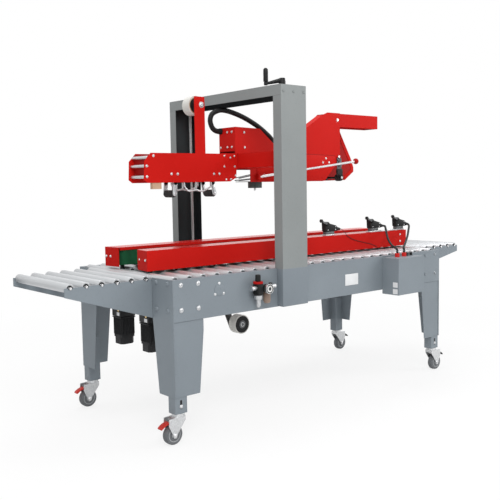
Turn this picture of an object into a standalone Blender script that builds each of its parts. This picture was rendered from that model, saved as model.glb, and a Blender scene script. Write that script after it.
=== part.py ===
"""Carton sealing machine with side belts, a flap-folding head and top and bottom tape cartridges.

Metres, +Z up. Cartons run along -X: the infeed table is at +X and the outfeed table at -X, and
the operator's side, with the crank and the control box, faces -Y. Everything is laid out about
the middle plane of the conveyor, and the last step moves it so that the origin lies on the floor
under the middle of the outer box. Lengths along the machine start at the outfeed end of the body.
"""

import math

import bmesh
import bpy
from mathutils import Matrix, Vector

# Body and conveyor
BODY_LENGTH = 1.800
BODY_WIDTH = 0.783
BED_Z = 0.682  # top edge of the side panels
PANEL_HEIGHT = 0.173
SHEET = 0.003
FLANGE = 0.028
LIP = 0.020
SEAT = 0.0004  # gap between two faces that touch
RUN = 0.0006  # running clearance on a radius
ROLLER_RADIUS = 0.019
ROLLER_SHAFT_RADIUS = 0.005
ROLLER_DROP = 0.009  # roller axis below the panel's top edge
ROLLER_PITCH = 0.072
FIRST_ROLLER = 0.036
RAIL_THICKNESS = 0.006
RAIL_HEIGHT = 0.022

# Roller tables at both ends
TABLE_LENGTH = 0.395
TABLE_PITCH = 0.0686
TABLE_FIRST = 0.026
TABLE_ROLLERS = 6
TABLE_TIP_HEIGHT = 0.036
OUTFEED_ROOT_HEIGHT = 0.164
INFEED_ROOT_HEIGHT = 0.110
NOTCH_RADIUS = 0.013

# Legs and casters
LEG_BOTTOM = 0.197
LEG_TOP_WIDTH = 0.154
LEG_FOOT_WIDTH = 0.129
LEG_TOP_DEPTH = 0.150
LEG_FOOT_DEPTH = 0.114
LEG_TAPER_START = 0.460
FOOT_WIDTH = 0.060
FOOT_DEPTH = 0.047
FOOT_BOTTOM = 0.128
FOOT_TOP = 0.340
WHEEL_RADIUS = 0.042
WHEEL_WIDTH = 0.030
CASTER_TRAIL = 0.030
FORK_HALF = 0.018
FORK_THICKNESS = 0.0035
AXLE_RADIUS = 0.005

# Portal and lift
PORTAL_RISE = 0.818  # portal top above the bed
COLUMN_X = 0.649
COLUMN_WIDTH = 0.154
COLUMN_PROUD = 0.038
COLUMN_INSET = 0.014
COLUMN_WALL = 0.004
COVER_SCREW = 0.003
BEAM_HEIGHT = 0.048
SCREW_RADIUS = 0.008
SCREW_INSET = 0.035  # screw axis inside the panel's outer face
CRANK_REACH = 0.077

# Head and cartridges
HEAD_RISE = 0.392  # underside of the head above the bed
HEAD_WIDTH = 0.123
CARTRIDGE_ROD_RADIUS = 0.007
APPLY_ROLLER_RADIUS = 0.017
TAPE_WIDTH = 0.050
TOP_ROLL_RADIUS = 0.045
BOTTOM_ROLL_RADIUS = 0.0475

# Side drives
GUARD_INNER = 0.0805
GUARD_WIDTH = 0.097
GUARD_END = 0.020
GUARD_RISE = 0.018
GUARD_HEIGHT = 0.088
GUARD_CHAMFER = 0.013
BELT_PROUD = 0.004
BELT_LOOP_WIDTH = 0.080
BELT_THICKNESS = 0.004
MOTOR_WIDTH = 0.078
MOTOR_BOTTOM = 0.340
MOTOR_TOP = 0.520

# Boxes and fittings on the operator's side
CONTROL_BOX_START = 1.307
CONTROL_BOX_LENGTH = 0.208
CONTROL_BOX_DEPTH = 0.105
CONTROL_BOX_HEIGHT = 0.188
CONTROL_BOX_DROP = 0.006
AIR_UNIT_X = 0.428

END_X = -BODY_LENGTH / 2
HALF_Y = BODY_WIDTH / 2
TABLE_WIDTH = BODY_WIDTH - 2 * LEG_TOP_DEPTH  # the tables' side plates line up with the legs' inner edges
PANEL_BOTTOM = BED_Z - PANEL_HEIGHT
AXIS_Z = BED_Z - ROLLER_DROP
PORTAL_TOP = BED_Z + PORTAL_RISE
BEAM_BOTTOM = PORTAL_TOP - BEAM_HEIGHT
SCREW_Y = HALF_Y - SCREW_INSET
HEAD_Z = BED_Z + HEAD_RISE
HEAD_HALF = HEAD_WIDTH / 2
CARTRIDGE_INNER = HEAD_HALF + SEAT
CARTRIDGE_OUTER = CARTRIDGE_INNER + SHEET
GUARD_OUTER = GUARD_INNER + GUARD_WIDTH
GUARD_BOTTOM = BED_Z + GUARD_RISE
GUARD_TOP = GUARD_BOTTOM + GUARD_HEIGHT
BELT_INNER = GUARD_INNER - BELT_PROUD
DRIVE_Y = BELT_INNER + BELT_LOOP_WIDTH / 2
MIDDLE_Y = (CONTROL_BOX_DEPTH - COLUMN_PROUD - COVER_SCREW) / 2

PAINT = {
    "grey_paint": ((0.27, 0.30, 0.33), 0.45, 0.0),
    "red_paint": ((0.60, 0.02, 0.02), 0.35, 0.0),
    "zinc": ((0.75, 0.76, 0.78), 0.30, 1.0),
    "dark_steel": ((0.30, 0.31, 0.33), 0.40, 1.0),
    "belt_green": ((0.01, 0.09, 0.03), 0.70, 0.0),
    "black_plastic": ((0.02, 0.02, 0.02), 0.45, 0.0),
    "black_rubber": ((0.03, 0.03, 0.03), 0.80, 0.0),
    "grey_tyre": ((0.12, 0.13, 0.14), 0.70, 0.0),
    "cream_tape": ((0.75, 0.70, 0.58), 0.40, 0.0),
    "red_plastic": ((0.55, 0.03, 0.02), 0.40, 0.0),
}


def clear_scene():
    for old in list(bpy.data.objects):
        bpy.data.objects.remove(old, do_unlink=True)


def material(name):
    made = bpy.data.materials.get(name)
    if made:
        return made
    colour, roughness, metallic = PAINT[name]
    made = bpy.data.materials.new(name)
    made.use_nodes = True
    shader = made.node_tree.nodes["Principled BSDF"]
    shader.inputs["Base Color"].default_value = (*colour, 1.0)
    shader.inputs["Roughness"].default_value = roughness
    shader.inputs["Metallic"].default_value = metallic
    return made


# ---------------------------------------------------------------- shapes


def prism(axis, outline, span):
    """A solid from an outline in the plane across axis, given in X, Y, Z order, pulled along it."""
    shape = bmesh.new()
    order = {"X": (2, 0, 1), "Y": (0, 2, 1), "Z": (0, 1, 2)}[axis]
    rings = []
    for along in span:
        ring = []
        for across, up in outline:
            values = (across, up, along)
            ring.append(shape.verts.new([values[order[i]] for i in range(3)]))
        rings.append(ring)
    count = len(outline)
    shape.faces.new(rings[0])
    shape.faces.new(rings[1])
    for i in range(count):
        j = (i + 1) % count
        shape.faces.new((rings[0][i], rings[0][j], rings[1][j], rings[1][i]))
    bmesh.ops.recalc_face_normals(shape, faces=shape.faces)
    return shape


def block(x, y, z):
    """A box from three (low, high) pairs."""
    low_x, high_x = sorted(x)
    low_z, high_z = sorted(z)
    outline = [(low_x, low_z), (high_x, low_z), (high_x, high_z), (low_x, high_z)]
    return prism("Y", outline, sorted(y))


def rod(start, end, radius, sides=12):
    """A cylinder between two points, with a flat, not an edge, facing straight down if it lies flat."""
    start, end = Vector(start), Vector(end)
    shape = bmesh.new()
    bmesh.ops.create_cone(
        shape,
        cap_ends=True,
        segments=sides,
        radius1=radius,
        radius2=radius,
        depth=(end - start).length,
        matrix=Matrix.Rotation(math.pi / sides, 4, "Z"),
    )
    turn = (end - start).to_track_quat("Z", "Y").to_matrix().to_4x4()
    shape.transform(Matrix.Translation((start + end) / 2) @ turn)
    return shape


def ball(centre, radius):
    shape = bmesh.new()
    matrix = Matrix.Translation(centre)
    bmesh.ops.create_icosphere(shape, subdivisions=2, radius=radius, matrix=matrix)
    return shape


def bar(start, end, width, side):
    """A flat bar in the XZ plane between two points, pulled across Y over the pair side."""
    run = Vector(end) - Vector(start)
    across = Vector((-run.y, run.x)).normalized() * width / 2
    ahead = run.normalized() * width / 2
    low, high = Vector(start) - ahead, Vector(end) + ahead
    outline = [low - across, high - across, high + across, low + across]
    return prism("Y", [tuple(point) for point in outline], side)


def tube_along(points, radius, material_name, name, sides=2):
    """A hose through the points, as a smooth curve resampled into a poly spline."""
    guide = [Vector(point) for point in points]
    guide = [2 * guide[0] - guide[1], *guide, 2 * guide[-1] - guide[-2]]
    path = []
    for i in range(1, len(guide) - 2):
        before, start, end, after = guide[i - 1 : i + 3]
        steps = max(2, round((end - start).length / (radius * 5)))
        for step in range(steps):
            t = step / steps
            path.append(
                0.5
                * (
                    2 * start
                    + (end - before) * t
                    + (2 * before - 5 * start + 4 * end - after) * t * t
                    + (3 * start - before - 3 * end + after) * t**3
                )
            )
    path.append(guide[-2])
    curve = bpy.data.curves.new(name, "CURVE")
    curve.dimensions = "3D"
    curve.bevel_depth = radius
    curve.bevel_resolution = sides
    curve.use_fill_caps = True
    spline = curve.splines.new("POLY")
    spline.points.add(len(path) - 1)
    for point, place in zip(spline.points, path):
        point.co = (*place, 1)
    made = bpy.data.objects.new(name, curve)
    bpy.context.scene.collection.objects.link(made)
    made.data.materials.append(material(material_name))
    return made


def merged(name, shapes):
    """One object that holds every shape, still as separate closed pieces."""
    mesh = bpy.data.meshes.new(name)
    whole = bmesh.new()
    for shape in shapes:
        shape.to_mesh(mesh)
        shape.free()
        whole.from_mesh(mesh)
    whole.to_mesh(mesh)
    whole.free()
    made = bpy.data.objects.new(name, mesh)
    bpy.context.scene.collection.objects.link(made)
    return made


def boolean(target, operation, other):
    step = target.modifiers.new(operation.title(), "BOOLEAN")
    step.operation = operation
    step.solver = "EXACT"
    step.use_self = True
    step.object = other


def baked(pieces, cuts=()):
    """The pieces joined, then the cuts taken away, as one shape."""
    made = merged("body", pieces[:1])
    helpers = []
    if len(pieces) > 1:
        helpers.append(merged("joined", pieces[1:]))
        boolean(made, "UNION", helpers[-1])
    if cuts:
        helpers.append(merged("cut", cuts))
        boolean(made, "DIFFERENCE", helpers[-1])
    graph = bpy.context.evaluated_depsgraph_get()
    mesh = bpy.data.meshes.new_from_object(made.evaluated_get(graph))
    shape = bmesh.new()
    shape.from_mesh(mesh)
    for helper in [made, *helpers]:
        bpy.data.objects.remove(helper, do_unlink=True)
    return shape


def solid(name, material_name, pieces, cuts=(), pivot=(0, 0, 0)):
    """One closed body, with its origin on the pivot."""
    made = merged(name, [baked(pieces, cuts)])
    made.data.transform(Matrix.Translation(-Vector(pivot)))
    made.location = pivot
    made.data.shade_smooth()
    made.data.set_sharp_from_angle(angle=math.radians(35))
    made.data.materials.append(material(material_name))
    return made


def attach(child, parent):
    bpy.context.view_layer.update()
    child.parent = parent
    child.matrix_parent_inverse = parent.matrix_world.inverted()


def along(length):
    """X of a point this far from the outfeed end of the body."""
    return END_X + length


# ---------------------------------------------------------------- body


def bed_roller_places():
    run = BODY_LENGTH - 2 * FIRST_ROLLER
    gaps = round(run / ROLLER_PITCH)
    return [FIRST_ROLLER + run * i / gaps for i in range(gaps + 1)]


def side_panel(name, side):
    """A folded side sheet with a notched inner lip that holds the roller shafts."""
    start, stop = END_X + SHEET + SEAT, -END_X - SHEET - SEAT
    inner = HALF_Y - FLANGE
    web = block((start, stop), (side * HALF_Y, side * (HALF_Y - SHEET)), (PANEL_BOTTOM, BED_Z))
    top = block((start, stop), (side * (HALF_Y - SHEET / 2), side * inner), (BED_Z - SHEET, BED_Z))
    lip = block((start, stop), (side * inner, side * (inner + SHEET)), (BED_Z - LIP, BED_Z - 0.001))
    low_start = LEG_TOP_WIDTH + SHEET
    foot = block(
        (along(low_start), -along(low_start)),
        (side * (HALF_Y - SHEET / 2), side * inner),
        (PANEL_BOTTOM, PANEL_BOTTOM + SHEET),
    )
    bolts = []
    for end in (-1, 1):
        for x in (0.041, 0.128):
            for z in (BED_Z - 0.023, BED_Z - 0.126):
                bolts.append(bolt_on_side(end * (BODY_LENGTH / 2 - x), side, z))
    notches = []
    reach = ROLLER_SHAFT_RADIUS + 0.001
    for place in bed_roller_places():
        notches.append(
            block(
                (along(place) - reach, along(place) + reach),
                (side * (inner - 0.002), side * (inner + 0.010)),
                (AXIS_Z - ROLLER_SHAFT_RADIUS - RUN, BED_Z + 0.002),
            )
        )
    return solid(name, "grey_paint", [web, top, lip, foot, *bolts], notches)


def bolt_on_side(x, side, z, radius=0.0075, height=0.004):
    return rod(
        (x, side * (HALF_Y - 0.001), z), (x, side * (HALF_Y + height), z), radius, 6
    )


def bed_rollers():
    """The conveyor rollers, their shafts and the rails that tie them, with a gap for the cartridge."""
    pieces = []
    rail_y = HALF_Y - FLANGE + 0.008
    rail_z = (AXIS_Z - RAIL_HEIGHT / 2, AXIS_Z + ROLLER_DROP - SHEET - SEAT)
    start, stop = FIRST_ROLLER - 0.020, BODY_LENGTH - FIRST_ROLLER + 0.020
    for side in (-1, 1):
        rail = (side * rail_y, side * (rail_y + RAIL_THICKNESS))
        pieces.append(block((along(start), along(stop)), rail, rail_z))
    tube_end = HALF_Y - FLANGE - 0.004
    window = (0.094, 0.646)
    window_y = 0.078
    for side in (-1, 1):
        rail = (side * window_y, side * (window_y + RAIL_THICKNESS))
        pieces.append(block((along(window[0]), along(window[1])), rail, rail_z))
    shaft_end = rail_y + RAIL_THICKNESS / 2
    for place in bed_roller_places():
        x = along(place)
        split = window[0] < place < window[1]
        for side in (-1, 1) if split else (0,):
            if split:
                ends = side * (window_y + RAIL_THICKNESS / 2), side * shaft_end
                tube = side * (window_y + RAIL_THICKNESS + 0.003), side * tube_end
            else:
                ends = -shaft_end, shaft_end
                tube = -tube_end, tube_end
            pieces.append(rod((x, ends[0], AXIS_Z), (x, ends[1], AXIS_Z), ROLLER_SHAFT_RADIUS, 6))
            pieces.append(rod((x, tube[0], AXIS_Z), (x, tube[1], AXIS_Z), ROLLER_RADIUS, 12))
    for place in slide_rod_places():
        x = along(place)
        for side in (-1, 1):
            hanger = (side * (shaft_end - 0.006), side * shaft_end)
            pieces.append(block((x - 0.012, x + 0.012), hanger, (SLIDE_ROD_Z - 0.012, AXIS_Z)))
        pieces.append(
            rod((x, -shaft_end + 0.002, SLIDE_ROD_Z), (x, shaft_end - 0.002, SLIDE_ROD_Z), SLIDE_ROD_RADIUS)
        )
    return solid("bed_rollers", "zinc", pieces)


SLIDE_ROD_RADIUS = 0.008
SLIDE_ROD_Z = AXIS_Z - ROLLER_RADIUS - 0.018


def slide_rod_places():
    """The cross rods that the side drives slide on lie under the first and the last roller gap."""
    places = bed_roller_places()
    return [(places[0] + places[1]) / 2, (places[-1] + places[-2]) / 2]


def table(name, end, root_height):
    """A roller table: two tapered side plates, a root plate, and rollers in open notches."""
    root = end * (BODY_LENGTH / 2 + SEAT)
    tip = root + end * TABLE_LENGTH
    top = AXIS_Z + 0.003
    half = TABLE_WIDTH / 2
    outline = [
        (root, top - root_height),
        (root, top),
        (tip, top),
        (tip, top - TABLE_TIP_HEIGHT),
    ]
    pieces = [
        prism("Y", outline, (-half, -half + SHEET)),
        prism("Y", outline, (half - SHEET, half)),
        block(
            (root, root + end * SHEET),
            (-half + 0.001, half - 0.001),
            (top - root_height + 0.002, AXIS_Z - ROLLER_RADIUS - 0.006),
        ),
    ]
    plates = baked(pieces, table_notches(root, end))
    rollers = []
    for i in range(TABLE_ROLLERS):
        x = root + end * (TABLE_FIRST + i * TABLE_PITCH)
        z = AXIS_Z
        rollers.append(rod((x, -half - 0.003, z), (x, half + 0.003, z), ROLLER_SHAFT_RADIUS + 0.001, 6))
        rollers.append(rod((x, -half + SHEET + 0.002, z), (x, half - SHEET - 0.002, z), ROLLER_RADIUS))
    return solid(name, "grey_paint", [plates, *rollers])


def table_notches(root, end):
    """Open round notches whose floor just holds the shaft."""
    half = TABLE_WIDTH / 2
    cuts = []
    for i in range(TABLE_ROLLERS):
        x = root + end * (TABLE_FIRST + i * TABLE_PITCH)
        z = AXIS_Z + NOTCH_RADIUS - ROLLER_SHAFT_RADIUS - 0.0005
        cuts.append(rod((x, -half - 0.01, z), (x, -half + 0.01, z), NOTCH_RADIUS))
        cuts.append(rod((x, half - 0.01, z), (x, half + 0.01, z), NOTCH_RADIUS))
    return cuts


# ---------------------------------------------------------------- legs and casters


def leg(name, end, side):
    """An angle leg of two tapered plates, with a box foot that carries the caster."""

    def x_of(inward):
        return end * (BODY_LENGTH / 2 - inward)

    def y_of(inward):
        return side * (HALF_Y - inward)

    face = SHEET + SEAT
    front = [
        (x_of(0.001), LEG_BOTTOM),
        (x_of(LEG_FOOT_WIDTH), LEG_BOTTOM),
        (x_of(LEG_TOP_WIDTH), LEG_TAPER_START),
        (x_of(LEG_TOP_WIDTH), BED_Z - SHEET - 0.002),
        (x_of(0.001), BED_Z - SHEET - 0.002),
    ]
    flank = [
        (y_of(0), LEG_BOTTOM),
        (y_of(LEG_FOOT_DEPTH), LEG_BOTTOM),
        (y_of(LEG_TOP_DEPTH), PANEL_BOTTOM),
        (y_of(LEG_TOP_DEPTH), BED_Z),
        (y_of(0), BED_Z),
    ]
    foot_x = (x_of(0.002), x_of(0.002 + FOOT_WIDTH))
    foot_y = (y_of(face + 0.002), y_of(face + 0.002 + FOOT_DEPTH))
    pieces = [
        prism("Y", front, sorted((y_of(face), y_of(face + SHEET)))),
        prism("X", flank, sorted((x_of(0), x_of(SHEET)))),
        block(foot_x, foot_y, (FOOT_BOTTOM, FOOT_TOP)),
    ]
    for y in (0.034, 0.116):
        for z in (BED_Z - 0.016, BED_Z - 0.127):
            pieces.append(rod((x_of(0.001), y_of(y), z), (x_of(-0.004), y_of(y), z), 0.0075, 6))
    wall = 0.004
    hollow = block(
        (x_of(0.002 + wall), x_of(0.002 + FOOT_WIDTH - wall)),
        (y_of(face + 0.002 + wall), y_of(face + 0.002 + FOOT_DEPTH - wall)),
        (FOOT_BOTTOM + 0.006, FOOT_TOP + 0.01),
    )
    clear_lip = block(
        (x_of(SHEET + SEAT), x_of(LEG_TOP_WIDTH + 0.01)),
        (y_of(FLANGE - SHEET - 0.001), y_of(FLANGE + 0.001)),
        (BED_Z - LIP - 0.001, BED_Z + 0.01),
    )
    return solid(name, "grey_paint", pieces, [hollow, clear_lip])


def caster(label, end, side):
    """A swivel caster that trails away from the body, with a wheel and a brake pedal."""
    swivel_x = end * (BODY_LENGTH / 2 - 0.002 - FOOT_WIDTH / 2)
    swivel_y = side * (HALF_Y - SHEET - SEAT - 0.002 - FOOT_DEPTH / 2)
    axle_x = swivel_x + end * CASTER_TRAIL
    top = FOOT_BOTTOM - SEAT
    bridge_z = (top - 0.024, top - 0.010)
    pivot_x = swivel_x + end * 0.052
    pivot_z = 0.092
    pieces = [
        rod((swivel_x, swivel_y, bridge_z[1] - 0.001), (swivel_x, swivel_y, top), 0.026),
        block(
            (swivel_x - end * 0.022, swivel_x + end * 0.030),
            (swivel_y - FORK_HALF - 0.001, swivel_y + FORK_HALF + 0.001),
            bridge_z,
        ),
    ]
    cheek = [
        (swivel_x - end * 0.022, bridge_z[1]),
        (pivot_x + end * 0.006, bridge_z[1] - 0.004),
        (pivot_x + end * 0.008, pivot_z - 0.008),
        (axle_x + end * 0.013, WHEEL_RADIUS + 0.006),
        (axle_x + end * 0.006, WHEEL_RADIUS - 0.012),
        (axle_x - end * 0.006, WHEEL_RADIUS - 0.012),
        (axle_x - end * 0.013, WHEEL_RADIUS + 0.006),
        (swivel_x - end * 0.022, bridge_z[0] - 0.004),
    ]
    for way in (-1, 1):
        reach = (swivel_y + way * FORK_HALF, swivel_y + way * (FORK_HALF + FORK_THICKNESS))
        pieces.append(prism("Y", cheek, sorted(reach)))
    outer = FORK_HALF + FORK_THICKNESS + 0.003
    pieces.append(
        rod((axle_x, swivel_y - outer, WHEEL_RADIUS), (axle_x, swivel_y + outer, WHEEL_RADIUS), AXLE_RADIUS, 8)
    )
    fork = solid(f"caster_fork_{label}", "zinc", pieces, pivot=(swivel_x, swivel_y, top))

    hub = FORK_HALF - 0.0006
    wheel = solid(
        f"caster_wheel_{label}",
        "grey_tyre",
        [
            rod(
                (axle_x, swivel_y - WHEEL_WIDTH / 2, WHEEL_RADIUS),
                (axle_x, swivel_y + WHEEL_WIDTH / 2, WHEEL_RADIUS),
                WHEEL_RADIUS / math.cos(math.pi / 24),
                24,
            ),
            rod((axle_x, swivel_y - hub, WHEEL_RADIUS), (axle_x, swivel_y + hub, WHEEL_RADIUS), 0.014),
        ],
        [
            rod(
                (axle_x, swivel_y - hub - 0.01, WHEEL_RADIUS),
                (axle_x, swivel_y + hub + 0.01, WHEEL_RADIUS),
                AXLE_RADIUS + RUN,
                8,
            )
        ],
        pivot=(axle_x, swivel_y, WHEEL_RADIUS),
    )
    tread = [
        (pivot_x - end * 0.004, pivot_z + 0.006),
        (pivot_x + end * 0.022, pivot_z + 0.001),
        (pivot_x + end * 0.042, pivot_z - 0.013),
        (pivot_x + end * 0.040, pivot_z - 0.018),
        (pivot_x + end * 0.020, pivot_z - 0.005),
        (pivot_x - end * 0.002, pivot_z + 0.000),
    ]
    pedal = solid(
        f"brake_pedal_{label}",
        "red_plastic" if end < 0 else "black_plastic",
        [
            prism("Y", tread, (swivel_y - 0.015, swivel_y + 0.015)),
            rod((pivot_x, swivel_y - hub, pivot_z), (pivot_x, swivel_y + hub, pivot_z), 0.0055, 8),
        ],
        pivot=(pivot_x, swivel_y, pivot_z),
    )
    attach(wheel, fork)
    attach(pedal, fork)


# ---------------------------------------------------------------- portal and lift


def column(name, side):
    """A channel that is open towards the head, stepped so that it stands outside the side panel."""
    x = along(COLUMN_X)
    half = COLUMN_WIDTH / 2
    outer = HALF_Y + COLUMN_PROUD
    foot = PANEL_BOTTOM + 0.002
    flange = [
        (side * (outer - COLUMN_WALL / 2), foot),
        (side * (HALF_Y + SEAT), foot),
        (side * (HALF_Y + SEAT), BED_Z + SEAT),
        (side * (HALF_Y - COLUMN_INSET), BED_Z + SEAT),
        (side * (HALF_Y - COLUMN_INSET), BEAM_BOTTOM - SEAT),
        (side * (outer - COLUMN_WALL / 2), BEAM_BOTTOM - SEAT),
    ]
    web_y = (side * outer, side * (outer - COLUMN_WALL))
    pieces = [
        block((x - half, x + half), web_y, (foot, PORTAL_TOP - 0.001)),
        prism("X", flange, (x - half, x - half + COLUMN_WALL)),
        prism("X", flange, (x + half - COLUMN_WALL, x + half)),
        block(
            (x - 0.014, x + 0.014),
            (side * (SCREW_Y - 0.018), side * (outer - COLUMN_WALL / 2)),
            (BED_Z + SEAT, SCREW_FOOT_Z),
        ),
        block(
            (x - half + 0.001, x + half - 0.001),
            (side * (HALF_Y + SEAT), side * (outer - COLUMN_WALL / 2)),
            (foot + 0.001, foot + 0.005),
        ),
    ]
    for offset in (-0.062, 0.0, 0.062):
        z = PORTAL_TOP - 0.030
        pieces.append(rod((x + offset, side * (outer - 0.001), z), (x + offset, side * (outer + COVER_SCREW), z), 0.005, 6))
    return solid(name, "grey_paint", pieces)


SCREW_FOOT_Z = BED_Z + 0.016


def portal_beam():
    """The cross beam, a channel that is open downwards and fits between the column webs."""
    x = along(COLUMN_X)
    half = COLUMN_WIDTH / 2
    reach = HALF_Y + COLUMN_PROUD - COLUMN_WALL - SEAT
    outline = [
        (x - half, BEAM_BOTTOM),
        (x - half + SHEET, BEAM_BOTTOM),
        (x - half + SHEET, PORTAL_TOP - SHEET),
        (x + half - SHEET, PORTAL_TOP - SHEET),
        (x + half - SHEET, BEAM_BOTTOM),
        (x + half, BEAM_BOTTOM),
        (x + half, PORTAL_TOP),
        (x - half, PORTAL_TOP),
    ]
    holes = [
        rod((x, side * SCREW_Y, PORTAL_TOP - 0.02), (x, side * SCREW_Y, PORTAL_TOP + 0.02), SCREW_RADIUS + RUN)
        for side in (-1, 1)
    ]
    return solid("portal_beam", "grey_paint", [prism("Y", outline, (-reach, reach))], holes)


def lead_screw(name, side):
    x = along(COLUMN_X)
    y = side * SCREW_Y
    collar_top = PORTAL_TOP - SHEET - SEAT
    return solid(
        name,
        "zinc",
        [
            rod((x, y, SCREW_FOOT_Z + SEAT), (x, y, PORTAL_TOP + 0.006), SCREW_RADIUS),
            rod((x, y, collar_top - 0.012), (x, y, collar_top), SCREW_RADIUS + 0.008),
        ],
        pivot=(x, y, PORTAL_TOP),
    )


def crank():
    """The hand crank on the front screw: a hub, an arm that slopes down, and a free-turning grip."""
    x, y = along(COLUMN_X), -SCREW_Y
    hub_z = PORTAL_TOP + 0.006 + SEAT
    direction = Vector((-0.90, 0.44, 0)).normalized()
    tip = Vector((x, y, hub_z)) + direction * CRANK_REACH
    boss_top = hub_z + 0.013
    arm = solid(
        "crank",
        "black_plastic",
        [
            rod((x, y, hub_z), (x, y, hub_z + 0.032), 0.016),
            rod((x, y, hub_z + 0.024), (tip.x, tip.y, hub_z + 0.0045), 0.0055, 8),
            rod((tip.x, tip.y, hub_z - 0.002), (tip.x, tip.y, boss_top), 0.0085),
            rod((tip.x, tip.y, hub_z + 0.002), (tip.x, tip.y, boss_top + 0.0615), 0.004, 8),
            rod((tip.x, tip.y, boss_top + 0.0590), (tip.x, tip.y, boss_top + 0.0618), 0.0065, 8),
        ],
        pivot=(x, y, PORTAL_TOP),
    )
    grip_z = (boss_top + SEAT, boss_top + 0.0585)
    grip = solid(
        "crank_grip",
        "black_plastic",
        [rod((tip.x, tip.y, grip_z[0]), (tip.x, tip.y, grip_z[1]), 0.011)],
        [rod((tip.x, tip.y, grip_z[0] - 0.01), (tip.x, tip.y, grip_z[1] + 0.01), 0.004 + RUN, 8)],
        pivot=(tip.x, tip.y, grip_z[0]),
    )
    attach(grip, arm)


def carriage(name, side):
    """A hollow arm from the head to the nut on one lead screw."""
    x = (along(COLUMN_X - 0.026), along(COLUMN_X + 0.040))
    z = (HEAD_Z + 0.068, HEAD_Z + 0.138)
    start, stop = HEAD_HALF + SEAT, SCREW_Y + 0.022
    wall = 0.004
    body = block(x, (side * start, side * stop), z)
    hollow = block(
        (x[0] + wall, x[1] - wall),
        (side * (start - 0.01), side * (SCREW_Y - 0.030)),
        (z[0] + wall, z[1] - wall),
    )
    nut = rod(
        (along(COLUMN_X), side * SCREW_Y, z[0] - 0.01),
        (along(COLUMN_X), side * SCREW_Y, z[1] + 0.01),
        SCREW_RADIUS + RUN,
    )
    return solid(name, "red_paint", [body], [hollow, nut])


# ---------------------------------------------------------------- head


def outline_at(points, base_z):
    return [(along(x), base_z + z) for x, z in points]


DIP_RISE = 0.192  # top of the head where it dips behind the columns
CONDUIT_END = 0.905
WINDOW_HEIGHT = 0.062
HEAD_FRONT_WINDOW = 0.704  # where each side plate starts below the window
HEAD_BACK_WINDOW = 0.820
PLOUGH_INSET = 0.052  # from a plate's window edge to its plough's clamp
HEAD_OUTLINE = [
    (0.525, WINDOW_HEIGHT),
    (0.525, 0.138),
    (0.610, 0.138),
    (0.610, 0.266),
    (0.770, 0.262),
    (0.859, DIP_RISE),
]
HEAD_FRONT_TOP = [(0.945, DIP_RISE), (1.219, 0.352), (1.254, 0.366), (1.351, 0.366)]
FLANGE_EDGE = -0.0155  # how far the front plate's sloping top edge is folded over
HEAD_BACK_TOP = [(1.060, DIP_RISE), (1.303, 0.366), (1.351, 0.366)]
HEAD_FRONT_NOSE = [(1.351, 0.112), (1.318, 0.086), (1.216, 0.000)]
HEAD_BACK_NOSE = [(1.472, 0.290), (1.570, 0.130), (1.593, 0.079), (1.593, 0.053), (1.521, 0.005), (1.216, 0.000)]
KICKER_PIVOT = (1.331, 0.329)
KICKER_PIN_RADIUS = 0.008
KICKER_HALF = 0.050
KICKER_HEIGHT = 0.072
KICKER_TIP = 1.680
INFEED_ARM_TOP = (1.335, 0.126)
INFEED_ROLLER = (1.368, 0.018)
INFEED_ROLLER_Y = (-0.050, -0.018)
GUIDE_BAR_REACH = 0.092
GUIDE_BARS = [(0.006, 0.016, 0.005), (0.018, 0.040, 0.004)]  # start height, end height, thickness


def head_frame():
    """Two shaped side plates tied by folded covers, the kicker's pivot pin and a floor plate."""
    inner = HEAD_HALF - SHEET
    tie = (-inner - 0.001, inner + 0.001)
    pieces = []
    for side, window, rest in (
        (-1, HEAD_FRONT_WINDOW, HEAD_FRONT_TOP + HEAD_FRONT_NOSE),
        (1, HEAD_BACK_WINDOW, HEAD_BACK_TOP + HEAD_BACK_NOSE),
    ):
        outline = [(window, 0.000), (window, WINDOW_HEIGHT), *HEAD_OUTLINE, *rest]
        pieces.append(prism("Y", outline_at(outline, HEAD_Z), sorted((side * inner, side * HEAD_HALF))))
    covers = [
        [(0.610, 0.150), (0.6125, 0.150), (0.6125, 0.2635), (0.610, 0.2655)],
        [(0.611, 0.2655), (0.611, 0.2625), (0.769, 0.2585), (0.770, 0.2615)],
        [(0.862, 0.1915), (0.862, 0.1885), (0.9455, 0.1885), (0.944, 0.1915)],
        [(0.708, 0.0005), (1.200, 0.0005), (1.200, 0.0035), (0.708, 0.0035)],
    ]
    for cover in covers:
        pieces.append(prism("Y", outline_at(cover, HEAD_Z), tie))
    flange = [(0.9504, 0.1942), (0.9518, 0.1919), (1.2202, 0.3488), (1.2188, 0.3511)]
    pieces.append(prism("Y", outline_at(flange, HEAD_Z), (tie[0], FLANGE_EDGE)))
    pin_x, pin_z = outline_at([KICKER_PIVOT], HEAD_Z)[0]
    pieces.append(rod((pin_x, -HEAD_HALF - 0.004, pin_z), (pin_x, HEAD_HALF + 0.004, pin_z), KICKER_PIN_RADIUS))
    return solid("head_frame", "red_paint", [*pieces, *stop_pad(), *guide_bars()])


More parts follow.
